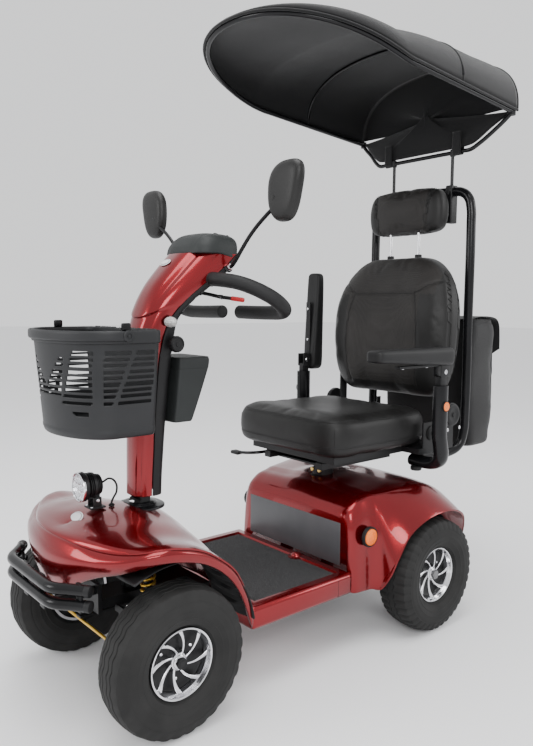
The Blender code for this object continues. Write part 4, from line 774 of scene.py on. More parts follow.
hide = surface("black_leather", (0.0063, 0.0060, 0.0059), (0.0105, 0.0103, 0.0100), (0.36, 0.50), 0.0, 240, 0.22, 9)
thread = surface("black_thread", (0.020, 0.020, 0.020), (0.040, 0.040, 0.040), (0.6, 0.8), 0.0, 900, 0.3)
air_hide = surface("perforated_leather", (0.0128, 0.0116, 0.0108), (0.0208, 0.0188, 0.0176), (0.42, 0.56), 0.0, 300, 0.2, 9)
for made_of, size, deep, strength in ((hide, 620, 0.0004, 0.55), (air_hide, 300, 0.0014, 0.9)):
    tree, link = made_of.node_tree.nodes, made_of.node_tree.links.new
    cells = tree.new("ShaderNodeTexVoronoi")
    cells.inputs["Scale"].default_value = size
    cells.inputs["Randomness"].default_value = 1.0 if made_of is hide else 0.0
    grain = tree.new("ShaderNodeBump")
    grain.inputs["Strength"].default_value = strength
    grain.inputs["Distance"].default_value = deep
    link(tree["Texture Coordinate"].outputs["Object"], cells.inputs["Vector"])
    link(cells.outputs["Distance"], grain.inputs["Height"])
    link(tree["Bump"].outputs["Normal"], grain.inputs["Normal"])
    link(grain.outputs["Normal"], tree["Principled BSDF"].inputs["Normal"])


def stuffed(piece, voxel, pressure, cap, slack=0.0):
    """Remeshes a closed shape and swells it as foam swells under a sewn cover."""
    bpy.ops.object.select_all(action="DESELECT")
    piece.select_set(True)
    bpy.context.view_layer.objects.active = piece
    piece.data.remesh_voxel_size = voxel
    bpy.ops.object.voxel_remesh()
    rest = np.array([v.co for v in piece.data.vertices])
    cover = piece.modifiers.new("cover", "CLOTH")
    cover.settings.use_pressure = True
    cover.settings.uniform_pressure_force = pressure
    cover.settings.effector_weights.gravity = 0
    cover.settings.quality = 4
    cover.settings.tension_stiffness = cover.settings.compression_stiffness = 20
    for step in range(1, 21):
        bpy.context.scene.frame_set(step)
    bpy.ops.object.modifier_apply(modifier="cover")
    bpy.context.scene.frame_set(1)
    now = np.array([v.co for v in piece.data.vertices])
    move = now - rest
    far = np.linalg.norm(move, axis=1, keepdims=True)
    move *= np.minimum(1.0, cap / np.maximum(far, 1e-9))
    piece.data.vertices.foreach_set("co", (rest + move).ravel())
    smooth = piece.modifiers.new("smooth", "SMOOTH")
    smooth.factor = 0.5
    smooth.iterations = 5
    bpy.ops.object.modifier_apply(modifier="smooth")
    bpy.ops.object.shade_smooth()
    return piece


def pressed_in(piece, lines, depth, width, where=None):
    """Draws the cover in along sewn lines."""
    points = np.array([v.co for v in piece.data.vertices])
    normals = np.array([v.normal for v in piece.data.vertices])
    near = np.full(len(points), 9.0)
    for line in lines:
        dots = np.array([tuple(p) for p in line])
        for a, b in zip(dots, dots[1:]):
            way = b - a
            t = np.clip(((points - a) @ way) / max(way @ way, 1e-12), 0, 1)
            near = np.minimum(near, np.linalg.norm(points - (a + t[:, None] * way), axis=1))
    push = depth * np.exp(-(near / width) ** 2)
    piece.data.vertices.foreach_set("co", (points - normals * push[:, None]).ravel())
    piece.data.update()


def on_cover(piece, line, lift=0.0, step=0.008):
    """A line laid on the cover's surface, with the surface's normal at each point."""
    found = []
    for a, b in zip(line, line[1:]):
        a, b = Vector(a), Vector(b)
        count = max(1, round((b - a).length / step))
        for k in range(count):
            _, place, normal, _ = piece.closest_point_on_mesh(a.lerp(b, k / count))
            found.append((place + normal * lift, normal))
    _, place, normal, _ = piece.closest_point_on_mesh(Vector(line[-1]))
    found.append((place + normal * lift, normal))
    return found


def seam(piece, line, rows=(-0.0042, 0.0042), welt=0.0011):
    """A rolled seam along a line on the cover, with stitches beside it."""
    laid = on_cover(piece, line)
    parts = [bent("welt", hide, [p for p, _ in laid], welt, 8, 1)] if welt else []
    sewn = open_piece("stitches")
    drawn = bmesh.from_edit_mesh(sewn.data)
    for (a, n), (b, _) in zip(laid, laid[1:]):
        way = b - a
        if way.length < 1e-5:
            continue
        across = n.cross(way.normalized())
        for row in rows:
            for part in (0.25, 0.75):
                middle = a + way * part + across * row + n * 0.0004
                turn_to = Matrix((way.normalized(), across, n)).transposed().to_4x4()
                size = Matrix.Diagonal((way.length * 0.34, 0.0009, 0.0009, 1))
                bmesh.ops.create_cube(drawn, size=1, matrix=Matrix.Translation(middle) @ turn_to @ size)
    bmesh.update_edit_mesh(sewn.data)
    bpy.ops.object.mode_set(mode="OBJECT")
    sewn.data.materials.append(thread)
    return parts + [sewn]


def soft_ring(u, half_x, half_y, power):
    a = 2 * math.pi * u
    c, q = math.cos(a), math.sin(a)
    return (half_x * math.copysign(abs(c) ** (2 / power), c), half_y * math.copysign(abs(q) ** (2 / power), q))


SEAT_MID_Y = REAR_AXLE - 0.123


def cushion_form(u, v):
    rows = [(0.0, 0.0, 0.566), (0.190, 0.180, 0.566), (0.230, 0.218, 0.568), (0.244, 0.231, 0.580), (0.2475, 0.2345, 0.605),
            (0.2475, 0.2345, 0.638), (0.242, 0.229, 0.662), (0.224, 0.211, 0.675), (0.140, 0.130, 0.680), (0.0, 0.0, 0.682)]
    half_x, half_y, z = between(rows, v)
    x, y = soft_ring(u, max(half_x, 0), max(half_y, 0), 6.5)
    dish = -0.012 * math.exp(-((x / 0.15) ** 2 + ((y - 0.04) / 0.17) ** 2)) if v > 0.6 else 0.0
    roll = 0.006 * math.exp(-((y + 0.17) / 0.06) ** 2) if v > 0.6 else 0.0
    return Vector((x, SEAT_MID_Y + y, z + (dish + roll) * min(1.0, (v - 0.6) * 4)))


cushion = stuffed(pulled("cushion", hide, 72, 36, cushion_form, 180), 0.006, 4.0, 0.007)
border, lower_border, corners = [], [], []
for k in range(65):
    x, y = soft_ring(k / 64, 0.235, 0.222, 7.0)
    border.append(Vector((x, SEAT_MID_Y + y, 0.674)))
    x, y = soft_ring(k / 64, 0.255, 0.242, 7.0)
    lower_border.append(Vector((x, SEAT_MID_Y + y, 0.592)))
for sx in (-1, 1):
    for sy in (-1, 1):
        corners.append([Vector((sx * 0.236, SEAT_MID_Y + sy * 0.223, z)) for z in (0.600, 0.620, 0.640, 0.660)])
pressed_in(cushion, [border, lower_border] + corners, 0.0030, 0.0065)
parts = [cushion] + seam(cushion, border) + seam(cushion, lower_border, (0.0042,))
for line in corners:
    parts += seam(cushion, line, (-0.0036, 0.0036), 0.0009)
seat_pad = as_one("seat_pad", parts, "seat", "leather_black", "seat_cushion")

# height, half width, front and back distance behind the rear axle
BACK_ROWS = [
    (0.700, 0.140, 0.172, 0.212), (0.703, 0.190, 0.150, 0.232), (0.722, 0.218, 0.134, 0.243), (0.755, 0.240, 0.122, 0.250),
    (0.800, 0.254, 0.114, 0.257), (0.860, 0.262, 0.109, 0.264), (0.920, 0.265, 0.108, 0.270), (0.980, 0.263, 0.112, 0.275),
    (1.030, 0.255, 0.121, 0.279), (1.075, 0.240, 0.134, 0.281), (1.112, 0.219, 0.149, 0.282), (1.143, 0.192, 0.163, 0.281),
    (1.166, 0.162, 0.177, 0.277), (1.180, 0.125, 0.191, 0.269), (1.185, 0.070, 0.208, 0.256),
]


def back_form(u, v):
    z, half, front, rear = between(BACK_ROWS, v)
    if v <= 0.0 or v >= 1.0:
        half *= 0.3
    x, y = soft_ring(u, half - 0.004, (rear - front) / 2 - 0.003, 3.6)
    y += REAR_AXLE + (front + rear) / 2
    if y < REAR_AXLE + (front + rear) / 2:
        y += 0.016 * math.exp(-(x / 0.105) ** 4) * math.exp(-((z - 0.93) / 0.20) ** 4)
        y -= 0.010 * math.exp(-((z - 0.80) / 0.07) ** 2) * max(0.0, 1 - (x / 0.19) ** 2)
    return Vector((x, y, z))


back_mesh = pulled("back_mesh", hide, 80, 60, back_form, 180)
bpy.ops.object.mode_set(mode="EDIT")
bpy.ops.mesh.select_all(action="SELECT")
bpy.ops.mesh.fill_holes(sides=0)
bpy.ops.mesh.normals_make_consistent(inside=False)
bpy.ops.object.mode_set(mode="OBJECT")
back_pad = stuffed(back_mesh, 0.006, 4.0, 0.006)


def down_front(line, step=0.010):
    """Drops a line of (x, height) straight back on to the front of the backrest."""
    found = []
    for (xa, za), (xb, zb) in zip(line, line[1:]):
        count = max(1, round(math.hypot(xb - xa, zb - za) / step))
        for k in range(count + 1):
            x, z = xa + (xb - xa) * k / count, za + (zb - za) * k / count
            hit, place, _, _ = back_pad.ray_cast(Vector((x, REAR_AXLE - 0.1, z)), Vector((0, 1, 0)))
            if hit and (not found or (place - found[-1]).length > step * 0.4):
                found.append(place)
    return found


PANEL_TOP = [(0.214, 1.096), (0.180, 1.082), (0.140, 1.060), (0.128, 1.056), (0.0, 1.054), (-0.128, 1.056), (-0.140, 1.060), (-0.180, 1.082),
             (-0.214, 1.096)]
PANEL_SIDE = [(0.134, 1.056), (0.146, 1.010), (0.156, 0.950), (0.160, 0.880), (0.156, 0.810), (0.146, 0.740)]
back_lines = [down_front(PANEL_TOP), down_front(PANEL_SIDE), down_front([(-x, z) for x, z in PANEL_SIDE])]
gusset = []
for s in (-1, 1):
    for depth in (0.030, 0.118):
        edge = []
        for z, half, near, far in BACK_ROWS[2:-3]:
            edge.append(Vector((s * (half + 0.03), REAR_AXLE + near + depth + (0.018 if depth < 0.05 else 0), z)))
        gusset.append(edge)
laid_lines = back_lines + [[p for p, _ in on_cover(back_pad, line)] for line in gusset]
pressed_in(back_pad, laid_lines, 0.0036, 0.0070)
back_pad.data.materials.append(air_hide)
for face in back_pad.data.polygons:
    c = face.center
    if face.normal.y < -0.3 and c.z > 0.745 and abs(c.x) < 0.206 - 0.05 * (c.z < 1.05):
        face.material_index = 1
parts = [back_pad]
for line in back_lines:
    parts += seam(back_pad, line)
for line in gusset:
    parts += seam(back_pad, line, (), 0.0012)
for s in (-1, 1):
    parts.append(block("hinge_ear", powder_black, (s * 0.225 - 0.0035, REAR_AXLE + 0.157, 0.642),
                       (s * 0.225 + 0.0035, REAR_AXLE + 0.191, 0.780), 0.0015))
    parts.append(turned("post_guide", case_black, (s * 0.062, REAR_AXLE + 0.240, 1.176), (0, 0, 1),
                        [(0, 0.0062), (0, 0.0125), (0.012, 0.0125), (0.015, 0.011), (0.0155, 0.0064), (0, 0.0062)], 28))
backrest_pad = as_one("backrest_pad", parts, "back", "leather_black", "backrest")


def head_form(u, v):
    rows = [(0.0, 0.0, 1.266), (0.100, 0.022, 1.266), (0.138, 0.034, 1.272), (0.156, 0.042, 1.292), (0.162, 0.0455, 1.330),
            (0.160, 0.045, 1.365), (0.150, 0.041, 1.395), (0.130, 0.032, 1.412), (0.080, 0.018, 1.418), (0.0, 0.0, 1.419)]
    half_x, half_y, z = between(rows, v)
    x, y = soft_ring(u, max(half_x, 0), max(half_y, 0), 3.4)
    return Vector((x, REAR_AXLE + 0.255 + y, z))


head = stuffed(pulled("head", hide, 64, 34, head_form, 180), 0.005, 4.0, 0.0045)
loops = []
for x_at in (-0.118, 0.118):
    loops.append([Vector((x_at * (1 + 0.12 * math.sin(a)), REAR_AXLE + 0.255 - 0.07 * math.cos(a), 1.343 + 0.10 * math.sin(a)))
                  for a in (math.pi * k / 14 - math.pi / 2 for k in range(15))])
pressed_in(head, [[p for p, _ in on_cover(head, line)] for line in loops], 0.0030, 0.006)
head.data.materials.append(air_hide)
for face in head.data.polygons:
    if face.normal.y < -0.35 and abs(face.center.x) < 0.112:
        face.material_index = 1
parts = [head]
for line in loops:
    parts += seam(head, line, (-0.0040, 0.0040), 0.0010)
for s in (-1, 1):
    parts.append(turned("head_post", chrome, (s * 0.062, REAR_AXLE + 0.240, 1.075), (0, 0, 1),
                        [(0, 0), (0, 0.0052), (0.200, 0.0052), (0.200, 0)], 24))
headrest_pad = as_one("headrest_pad", parts, "headrest", "leather_black", "headrest")

# ---- Armrests and their tubes -----------------------------------------------------------------------------------
# Flattened black tubes come out from under the seat and turn up on each side. A moulded foam pad
# on a steel strap is pinned to the top of each, and tips up out of the way.
foam_skin = surface("foam_skin", (0.0067, 0.0067, 0.0070), (0.0105, 0.0105, 0.0110), (0.44, 0.56), 0.0, 520, 0.3)
PAD_X, PAD_PIN = 0.312, Vector((0, REAR_AXLE + 0.046, 0.808))
for s, side in ((1, "left"), (-1, "right")):
    pin = Vector((s * PAD_X, PAD_PIN.y, PAD_PIN.z))

    def pad_form(u, v):
        rows = [(0.0, 0.0535, 0.0600, -0.3245), (0.016, 0.046, 0.0690, -0.3240), (0.0265, 0.0420, 0.0745, -0.3180), (0.0300, 0.0400, 0.0770, -0.3050),
                (0.0312, 0.0380, 0.0775, -0.2700), (0.0315, 0.0330, 0.0772, -0.2000), (0.0315, 0.0275, 0.0768, -0.1200),
                (0.0312, 0.0225, 0.0768, -0.0500), (0.0300, 0.0200, 0.0770, 0.0050), (0.0270, 0.0205, 0.0750, 0.0270), (0.0170, 0.0260, 0.0690, 0.0370),
                (0.0, 0.0450, 0.0520, 0.0392)]
        wide, under, top, along = between(rows, v)
        x, z = soft_ring(u, max(wide, 0.0), max((top - under) / 2, 0.0) if wide > 0.001 else 0.0, 3.8)
        return pin + Vector((x, along, (top + under) / 2 + z))

    parts = [pulled("pad", foam_skin, 40, 48, pad_form, 60),
             block("strap", powder_black, pin + Vector((-0.0105, -0.215, 0.0185)), pin + Vector((0.0105, 0.024, 0.0260)), 0.0012),
             block("cheek_in", powder_black, pin + Vector((-0.0155, -0.022, -0.016)), pin + Vector((-0.0125, 0.024, 0.026)), 0.001),
             block("cheek_out", powder_black, pin + Vector((0.0125, -0.022, -0.016)), pin + Vector((0.0155, 0.024, 0.026)), 0.001)]
    for out in (-1, 1):
        parts.append(turned("pin_head", bright_steel, pin + Vector((out * 0.0150, 0, 0)), (out, 0, 0),
                            [(0, 0.0075), (0.003, 0.0075), (0.005, 0.005), (0.0052, 0)], 24))
    for y in (-0.190, -0.075):
        parts.append(turned("pad_screw", bright_steel, pin + Vector((0, y, 0.0188)), (0, 0, -1),
                            [(0, 0.0045), (0.002, 0.0045), (0.003, 0.003), (0.0031, 0)], 16))
    if s < 0:
        tip_up = Matrix.Translation(pin) @ Matrix.Rotation(math.radians(-90), 4, "X") @ Matrix.Translation(-pin)
        for part in parts:
            part.data.transform(tip_up)
    as_one(f"arm_pad_{side}", parts, f"arm_pad_{side}", "black_plastic", f"armrest_{side}")

    mid_y = REAR_AXLE + 0.046
    line = [(0.195, 0.508), (0.225, 0.5065), (0.252, 0.506), (0.272, 0.5085), (0.290, 0.515), (0.303, 0.527), (0.310, 0.543),
            (0.312, 0.566), (0.312, 0.620), (0.312, 0.700), (0.312, 0.764)]
    upright = bent("upright", gloss_black, [Vector((s * x, mid_y, z)) for x, z in line], 0.0205, 24, 5)
    for v in upright.data.vertices:
        v.co.y = mid_y + (v.co.y - mid_y) * 1.38 + 0.022 * max(0.0, min(1.0, (0.60 - v.co.z) / 0.09))
    tongue = block("tongue", powder_black, (s * PAD_X - 0.0110, mid_y - 0.0155, 0.758), (s * PAD_X + 0.0110, mid_y + 0.0155, 0.7935), 0.003)
    knob_at = Vector((s * 0.222, mid_y + 0.004, 0.494))
    knob = turned("width_knob", case_black, knob_at, (0, 0, -1),
                  [(-0.004, 0.005), (0.0, 0.005), (0.001, 0.016), (0.003, 0.0185), (0.012, 0.0185), (0.015, 0.016), (0.0155, 0)], 12, 20)
    eye = Vector((s * (PAD_X + 0.0200), mid_y, 0.700))
    marker = [turned("eye_rim", case_black, eye, (s, 0, 0), [(-0.002, 0), (-0.002, 0.0165), (0.0035, 0.0165), (0.0045, 0.0150), (0.0035, 0.0145), (0.0035, 0)], 36),
              turned("eye", orange, eye, (s, 0, 0), [(0.0034, 0.0145), (0.0052, 0.0130), (0.0060, 0.008), (0.0062, 0)], 36)]
    as_one(f"arm_tube_{side}", [upright, tongue, knob] + marker, "seat", "black_steel", f"arm_upright_{side}")

parts = []
for s in (-1, 1):
    cover = Vector((s * 0.2738, REAR_AXLE + 0.170, 0.655))
    parts.append(turned("recliner_cover", case_black, cover, (s, 0, 0),
                        [(-0.002, 0), (-0.002, 0.036), (0.002, 0.0355), (0.0045, 0.031), (0.0050, 0.022), (0.0038, 0.020),
                         (0.0038, 0.008), (0.0060, 0.007), (0.0062, 0)], 48))
    lower_cover = Vector((s * 0.2626, REAR_AXLE + 0.070, 0.604))
    parts.append(turned("slide_cover", case_black, lower_cover, (s, 0, 0),
                        [(-0.001, 0), (-0.001, 0.024), (0.003, 0.0235), (0.0052, 0.019), (0.0056, 0.008), (0.0070, 0.007),
                         (0.0072, 0)], 40))
    for dy, dz in ((-0.016, -0.030), (0.050, -0.028)):
        parts.append(turned("side_bolt", bright_steel, cover + Vector((-s * 0.0110, dy, dz - 0.020)), (s, 0, 0),
                            [(0, 0.006), (0.004, 0.006), (0.005, 0.004), (0.0051, 0)], 6))
as_one("recliner_covers", parts, "seat", "black_plastic")

# ---- Seat back tube and bag -----------------------------------------------------------------------------------------
# A round black tube is bent into an upside-down U behind the seat, with two clamp sleeves for the
# canopy posts. A black canvas bag with a flap is buckled to it.
TUBE_X, BACK_Y, TUBE_TOP, TUBE_R = 0.212, REAR_AXLE + 0.330, 1.408, 0.016
line = [(TUBE_X - 0.030, REAR_AXLE + 0.120, 0.508), (TUBE_X - 0.030, REAR_AXLE + 0.200, 0.504),
        (TUBE_X - 0.020, REAR_AXLE + 0.272, 0.505), (TUBE_X - 0.008, REAR_AXLE + 0.310, 0.526),
        (TUBE_X - 0.001, BACK_Y - 0.003, 0.575), (TUBE_X, BACK_Y, 0.640), (TUBE_X, BACK_Y, 0.950),
        (TUBE_X, BACK_Y, 1.290), (TUBE_X - 0.002, BACK_Y, 1.345), (TUBE_X - 0.014, BACK_Y, 1.383),
        (TUBE_X - 0.040, BACK_Y, 1.403), (TUBE_X - 0.075, BACK_Y, TUBE_TOP)]
line = [Vector(p) for p in line]
parts = [bent("hoop", gloss_black, line + [Vector((-p.x, p.y, p.z)) for p in line[::-1]], TUBE_R, 24, 6)]
for s in (-1, 1):
    sleeve = Vector((s * 0.129, BACK_Y, 1.300))
    parts.append(block("sleeve", powder_black, sleeve + Vector((-0.013, -0.019, 0)), sleeve + Vector((0.013, 0.019, 0.130)), 0.004, 3))
    for z in (0.028, 0.104):
        parts.append(turned("sleeve_screw", case_black, sleeve + Vector((0, -0.018, z)), (0, -1, 0),
                            [(0, 0.004), (0.004, 0.004), (0.005, 0.0085), (0.011, 0.0085), (0.0125, 0.007), (0.0127, 0)], 8, 20))
    parts.append(block("shoe", powder_black, (s * (TUBE_X - 0.030) - 0.012, REAR_AXLE + 0.115, 0.512),
                       (s * (TUBE_X - 0.030) + 0.012, REAR_AXLE + 0.148, 0.5375), 0.002))
as_one("back_hoop", parts, "seat", "black_steel", "seat_back_tube")

canvas = surface("black_canvas", (0.0028, 0.0028, 0.0032), (0.0050, 0.0050, 0.0056), (0.78, 0.92), 0.0, 120, 0.5, 6)
tree, link = canvas.node_tree.nodes, canvas.node_tree.links.new
canvas.node_tree.nodes["Principled BSDF"].inputs["Sheen Weight"].default_value = 0.18
weaves = []
for axis in ("X", "Y", "Z"):
    threads = tree.new("ShaderNodeTexWave")
    threads.bands_direction = axis
    threads.inputs["Scale"].default_value = 260
    threads.inputs["Distortion"].default_value = 0.6
    link(tree["Texture Coordinate"].outputs["Object"], threads.inputs["Vector"])
    weaves.append(threads)
crossed = tree.new("ShaderNodeMath")
crossed.operation = "ADD"
link(weaves[0].outputs["Fac"], crossed.inputs[0])
link(weaves[1].outputs["Fac"], crossed.inputs[1])
woven = tree.new("ShaderNodeMath")
woven.operation = "ADD"
link(crossed.outputs["Value"], woven.inputs[0])
link(weaves[2].outputs["Fac"], woven.inputs[1])
weave_relief = tree.new("ShaderNodeBump")
weave_relief.inputs["Strength"].default_value = 0.35
weave_relief.inputs["Distance"].default_value = 0.0005
link(woven.outputs["Value"], weave_relief.inputs["Height"])
link(tree["Bump"].outputs["Normal"], weave_relief.inputs["Normal"])
link(weave_relief.outputs["Normal"], tree["Principled BSDF"].inputs["Normal"])

low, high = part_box("rear_bag")
bag_mid = (low + high) / 2
BAG_ROWS = [(0.0, 0.0, 0.503), (0.150, 0.055, 0.5035), (0.185, 0.082, 0.508), (0.193, 0.094, 0.540), (0.196, 0.104, 0.640),
            (0.194, 0.108, 0.740), (0.192, 0.107, 0.840), (0.194, 0.104, 0.915), (0.190, 0.096, 0.950), (0.170, 0.080, 0.966),
            (0.0, 0.0, 0.972)]


def bag_form(u, v):
    half_x, half_y, z = between(BAG_ROWS, v)
    x, y = soft_ring(u, max(half_x, 0.0), max(half_y, 0.0), 5.0)
    side = abs(x) / 0.196
    crumple = 0.0040 * noise.noise(Vector((x * 9, z * 13, y * 9))) + 0.0022 * noise.noise(Vector((x * 26, z * 21, 5)))
    sag = 0.006 * math.sin(math.pi * min(1, max(0, (z - 0.52) / 0.4))) * (1 - side ** 4)
    if y > 0:
        y = y + sag + crumple
    if side > 0.9:
        x = x * (1 - 0.035 * math.sin(math.pi * min(1, max(0, (z - 0.52) / 0.42)))) + crumple
    room = high.y - 0.007
    return Vector((x, min(low.y + 0.004 + 0.106 + y, room), z))


bag = pulled("bag", canvas, 96, 80, bag_form, 60)


def flap_form(u, v):
    x = (u - 0.5) * 0.392
    over = [(0.020, 0.966), (0.060, 0.9735), (0.120, 0.9760), (0.180, 0.968), (0.204, 0.945), (0.2105, 0.900), (0.2115, 0.860),
            (0.2105, 0.835)]
    y, z = between(over, v)
    wave = 0.003 * math.sin(x * 34) * max(0.0, v - 0.6)
    corner = 0.020 * max(0.0, (abs(u - 0.5) * 2) - 0.85) / 0.15 * max(0.0, v - 0.85) / 0.15
    return Vector((x, min(low.y + y + wave, high.y - 0.001), z + corner))


flap = walled(pulled("flap", canvas, 60, 40, flap_form, 60), 0.0022)
hem = bent("hem", canvas, [flap_form(k / 24, 1.0) + Vector((0, 0.0002, 0.0035)) for k in range(25)], 0.0022, 8, 2)
parts = [bag, flap, hem]
for s in (-1, 1):
    parts.append(block("strap", case_black, (s * 0.120 - 0.012, low.y + 0.2120, 0.770), (s * 0.120 + 0.012, low.y + 0.2150, 0.850), 0.0008))
    parts.append(block("buckle", case_black, (s * 0.120 - 0.0155, low.y + 0.2120, 0.790), (s * 0.120 + 0.0155, low.y + 0.2172, 0.826), 0.0024))
    for z in (0.640, 0.930):
        parts.append(block("loop", canvas, (s * 0.196, BACK_Y + 0.010, z - 0.014), (s * 0.200, BACK_Y + 0.030, z + 0.014), 0.001))
as_one("canvas_bag", parts, "seat", "fabric_black", "rear_bag")

# ---- Canopy --------------------------------------------------------------------------------------------------------------
# Black canvas sewn over a bent steel hoop and a middle bow. The hoop slopes up to the front, and
# two bright posts carry it from the sleeves behind the headrest.
ROOF_HALF, ROOF_BACK, ROOF_SIDE, ROOF_NOSE = 0.337, REAR_AXLE + 0.386, REAR_AXLE - 0.178, REAR_AXLE - 0.556
ROOF_Z, ROOF_SLOPE, ROOF_LIFT = 1.651, 0.077, 0.068


def roof_edge(t, inset=0.0, lift=0.0):
    """The canopy's edge from back left (0) round the front to back right (1)."""
    half, straight = ROOF_HALF - inset, 0.34
    if t < straight or t > 1 - straight:
        s = 1 if t < straight else -1
        along = (t if t < straight else 1 - t) / straight
        x, y, nose = s * half, ROOF_BACK - inset + (ROOF_SIDE - ROOF_BACK + inset) * along, 0.0
    else:
        a = math.pi * (t - straight) / (1 - 2 * straight)
        nose = max(0.0, math.sin(a)) ** 0.94
        x = half * math.copysign(abs(math.cos(a)) ** 0.94, math.cos(a))
        y = ROOF_SIDE + (ROOF_NOSE + inset - ROOF_SIDE) * nose
    return Vector((x, y, ROOF_Z + ROOF_SLOPE * (ROOF_BACK - y) + ROOF_LIFT * nose + lift))


def roof_form(u, v):
    t = 0.5 * v ** 0.9
    left, right = roof_edge(t), roof_edge(1 - t)
    along = min(1.0, max(0.0, (ROOF_BACK - left.y) / (ROOF_BACK - ROOF_NOSE)))
    tall = 0.196 * (1 - along ** 2.0) ** 0.9
    a = math.pi * (1 - u)
    across = math.copysign(abs(math.cos(a)) ** 0.8, math.cos(a))
    half = (left.x - right.x) / 2
    lift = max(0.0, math.sin(a)) ** 0.8
    sag = 0.007 * math.sin(math.pi * min(1.0, along / 0.42)) ** 2 * lift if along < 0.42 else 0.009 * math.sin(
        math.pi * min(1.0, (along - 0.42) / 0.5)) ** 2 * lift
    ripple = 0.0016 * noise.noise(Vector((across * 4, along * 9, 0))) * lift
    return Vector((-half * across, left.y, left.z + 0.008 + tall * lift - sag + ripple))


roof = walled(pulled("roof", canvas, 72, 84, roof_form, 80), 0.0016)

HEM = [(0.334, ROOF_BACK - 0.004, 1.6535), (0.318, ROOF_BACK - 0.010, 1.6480), (0.270, REAR_AXLE + 0.352, 1.6100), (0.222, BACK_Y + 0.006, 1.5700),
       (0.190, BACK_Y + 0.001, 1.5575), (0.120, BACK_Y, 1.5550), (0.0, BACK_Y, 1.5550)]


def curtain_form(u, v):
    side = abs(u - 0.5) * 2
    place = (1 - side) * (len(HEM) - 1)
    x, y, z = between(HEM, place / (len(HEM) - 1))
    hem = Vector((math.copysign(x, u - 0.5), y, z))
    top = roof_form(0.5 + (u - 0.5) * 0.985, 0.0) + Vector((0, -0.003, -0.003))
    point = top.lerp(hem, v)
    slack = math.sin(math.pi * v) * (1 - side ** 3)
    point.y -= 0.016 * slack + 0.004 * noise.noise(Vector((point.x * 7, point.z * 9, 2))) * slack
    return point


curtain = walled(pulled("curtain", canvas, 96, 40, curtain_form, 80), 0.0014)
edge_line = [roof_edge(k / 60) + Vector((0, 0, 0.003)) for k in range(61)]
binding = bent("binding", canvas, edge_line, 0.0042, 10, 2)
seams = []
for v in (0.0, 0.335):
    seams.append(bent("roof_seam", canvas, [roof_form(k / 36, v) for k in range(37)], 0.0030, 8, 2))
cloth = as_one("canopy_cover", [roof], "canopy", "fabric_black", "canopy_fabric")
back_cloth = as_one("canopy_back", [curtain], "canopy", "fabric_black")
trim = as_one("canopy_binding", [binding] + seams, "canopy", "fabric_black")

hoop = [roof_edge(k / 40, 0.012, -0.002) for k in range(41)]
bar = [hoop[0], Vector((0.318, ROOF_BACK - 0.016, 1.640)), Vector((0.270, REAR_AXLE + 0.358, 1.597)), Vector((0.222, BACK_Y + 0.008, 1.556)),
       Vector((0.200, BACK_Y + 0.002, 1.5435)), Vector((0.170, BACK_Y, 1.542)), Vector((0.080, BACK_Y, 1.542))]
bar += [Vector((-p.x, p.y, p.z)) for p in bar[::-1]]
bow = [roof_form(0.03 + 0.94 * k / 30, 0.335) + Vector((0, 0, -0.0085)) for k in range(31)]
parts = [bent("hoop", gloss_black, hoop, 0.0078, 14, 3), bent("bar", gloss_black, bar, 0.0072, 14, 6),
         bent("bow", gloss_black, bow, 0.0052, 12, 2)]
for s in (-1, 1):
    parts.append(turned("post", gloss_black, (s * 0.129, BACK_Y, 1.330), (0, 0, 1), [(0, 0), (0, 0.0058), (0.212, 0.0058), (0.212, 0)], 24))
    parts.append(turned("post_joint", powder_black, (s * 0.129, BACK_Y, 1.530), (0, 0, 1),
                        [(0, 0.0060), (0, 0.0095), (0.020, 0.0095), (0.022, 0.008), (0.022, 0)], 24))
    end = hoop[0] if s > 0 else hoop[-1]
    parts.append(turned("corner_joint", case_black, end, (0, 0, 1), [(-0.012, 0), (-0.012, 0.011), (0.010, 0.011), (0.010, 0)], 20))
canopy_tubes = as_one("canopy_tubes", parts, "canopy", "black_steel", "canopy_frame")

tabs = []
for s in (-1, 1):
    def tab_form(u, v):
        x = s * (0.150 + (u - 0.5) * 0.034)
        rows = [(BACK_Y + 0.010, 1.600), (BACK_Y + 0.0105, 1.556), (BACK_Y + 0.0095, 1.540), (BACK_Y + 0.004, 1.5325),
                (BACK_Y - 0.004, 1.5325), (BACK_Y - 0.0095, 1.540), (BACK_Y - 0.0105, 1.556), (BACK_Y - 0.010, 1.610)]
        y, z = between(rows, v)
        return Vector((x, y, z))

    tabs.append(walled(pulled("tab", canvas, 6, 36, tab_form, 80), 0.0014))
canopy_tabs = as_one("canopy_tabs", tabs, "canopy", "fabric_black")

# ---- Tiller ----------------------------------------------------------------------------------------------
# Two moulded shells meet along the sides of a steel tube: candy red in front and black behind, held by
# black screws. A domed grey cap closes the top, and a rubber boot covers the foot.
boot_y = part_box("tiller_boot")[0].y + 0.066


def boot_form(u, v):
    rows = [(0.0620, 0.0660, 0.4740, 0.000), (0.0625, 0.0665, 0.4780, 0.000), (0.0600, 0.0640, 0.4808, 0.000),
            (0.0520, 0.0540, 0.4822, 0.000), (0.0450, 0.0450, 0.4840, 0.000), (0.0455, 0.0455, 0.4856, 0.000),
            (0.0400, 0.0390, 0.4872, 0.001), (0.0400, 0.0390, 0.4886, 0.001), (0.0340, 0.0330, 0.4898, 0.002),
            (0.0270, 0.0270, 0.4902, 0.002)]
    half_x, half_y, z, back = between(rows, v)
    x, y = soft_ring(u, half_x, half_y, 2.4)
    return Vector((x, boot_y + y + back, z))


as_one("column_boot", [walled(pulled("boot", gloss_black, 56, 36, boot_form, 80), 0.002)], "root", "black_plastic", "tiller_boot")

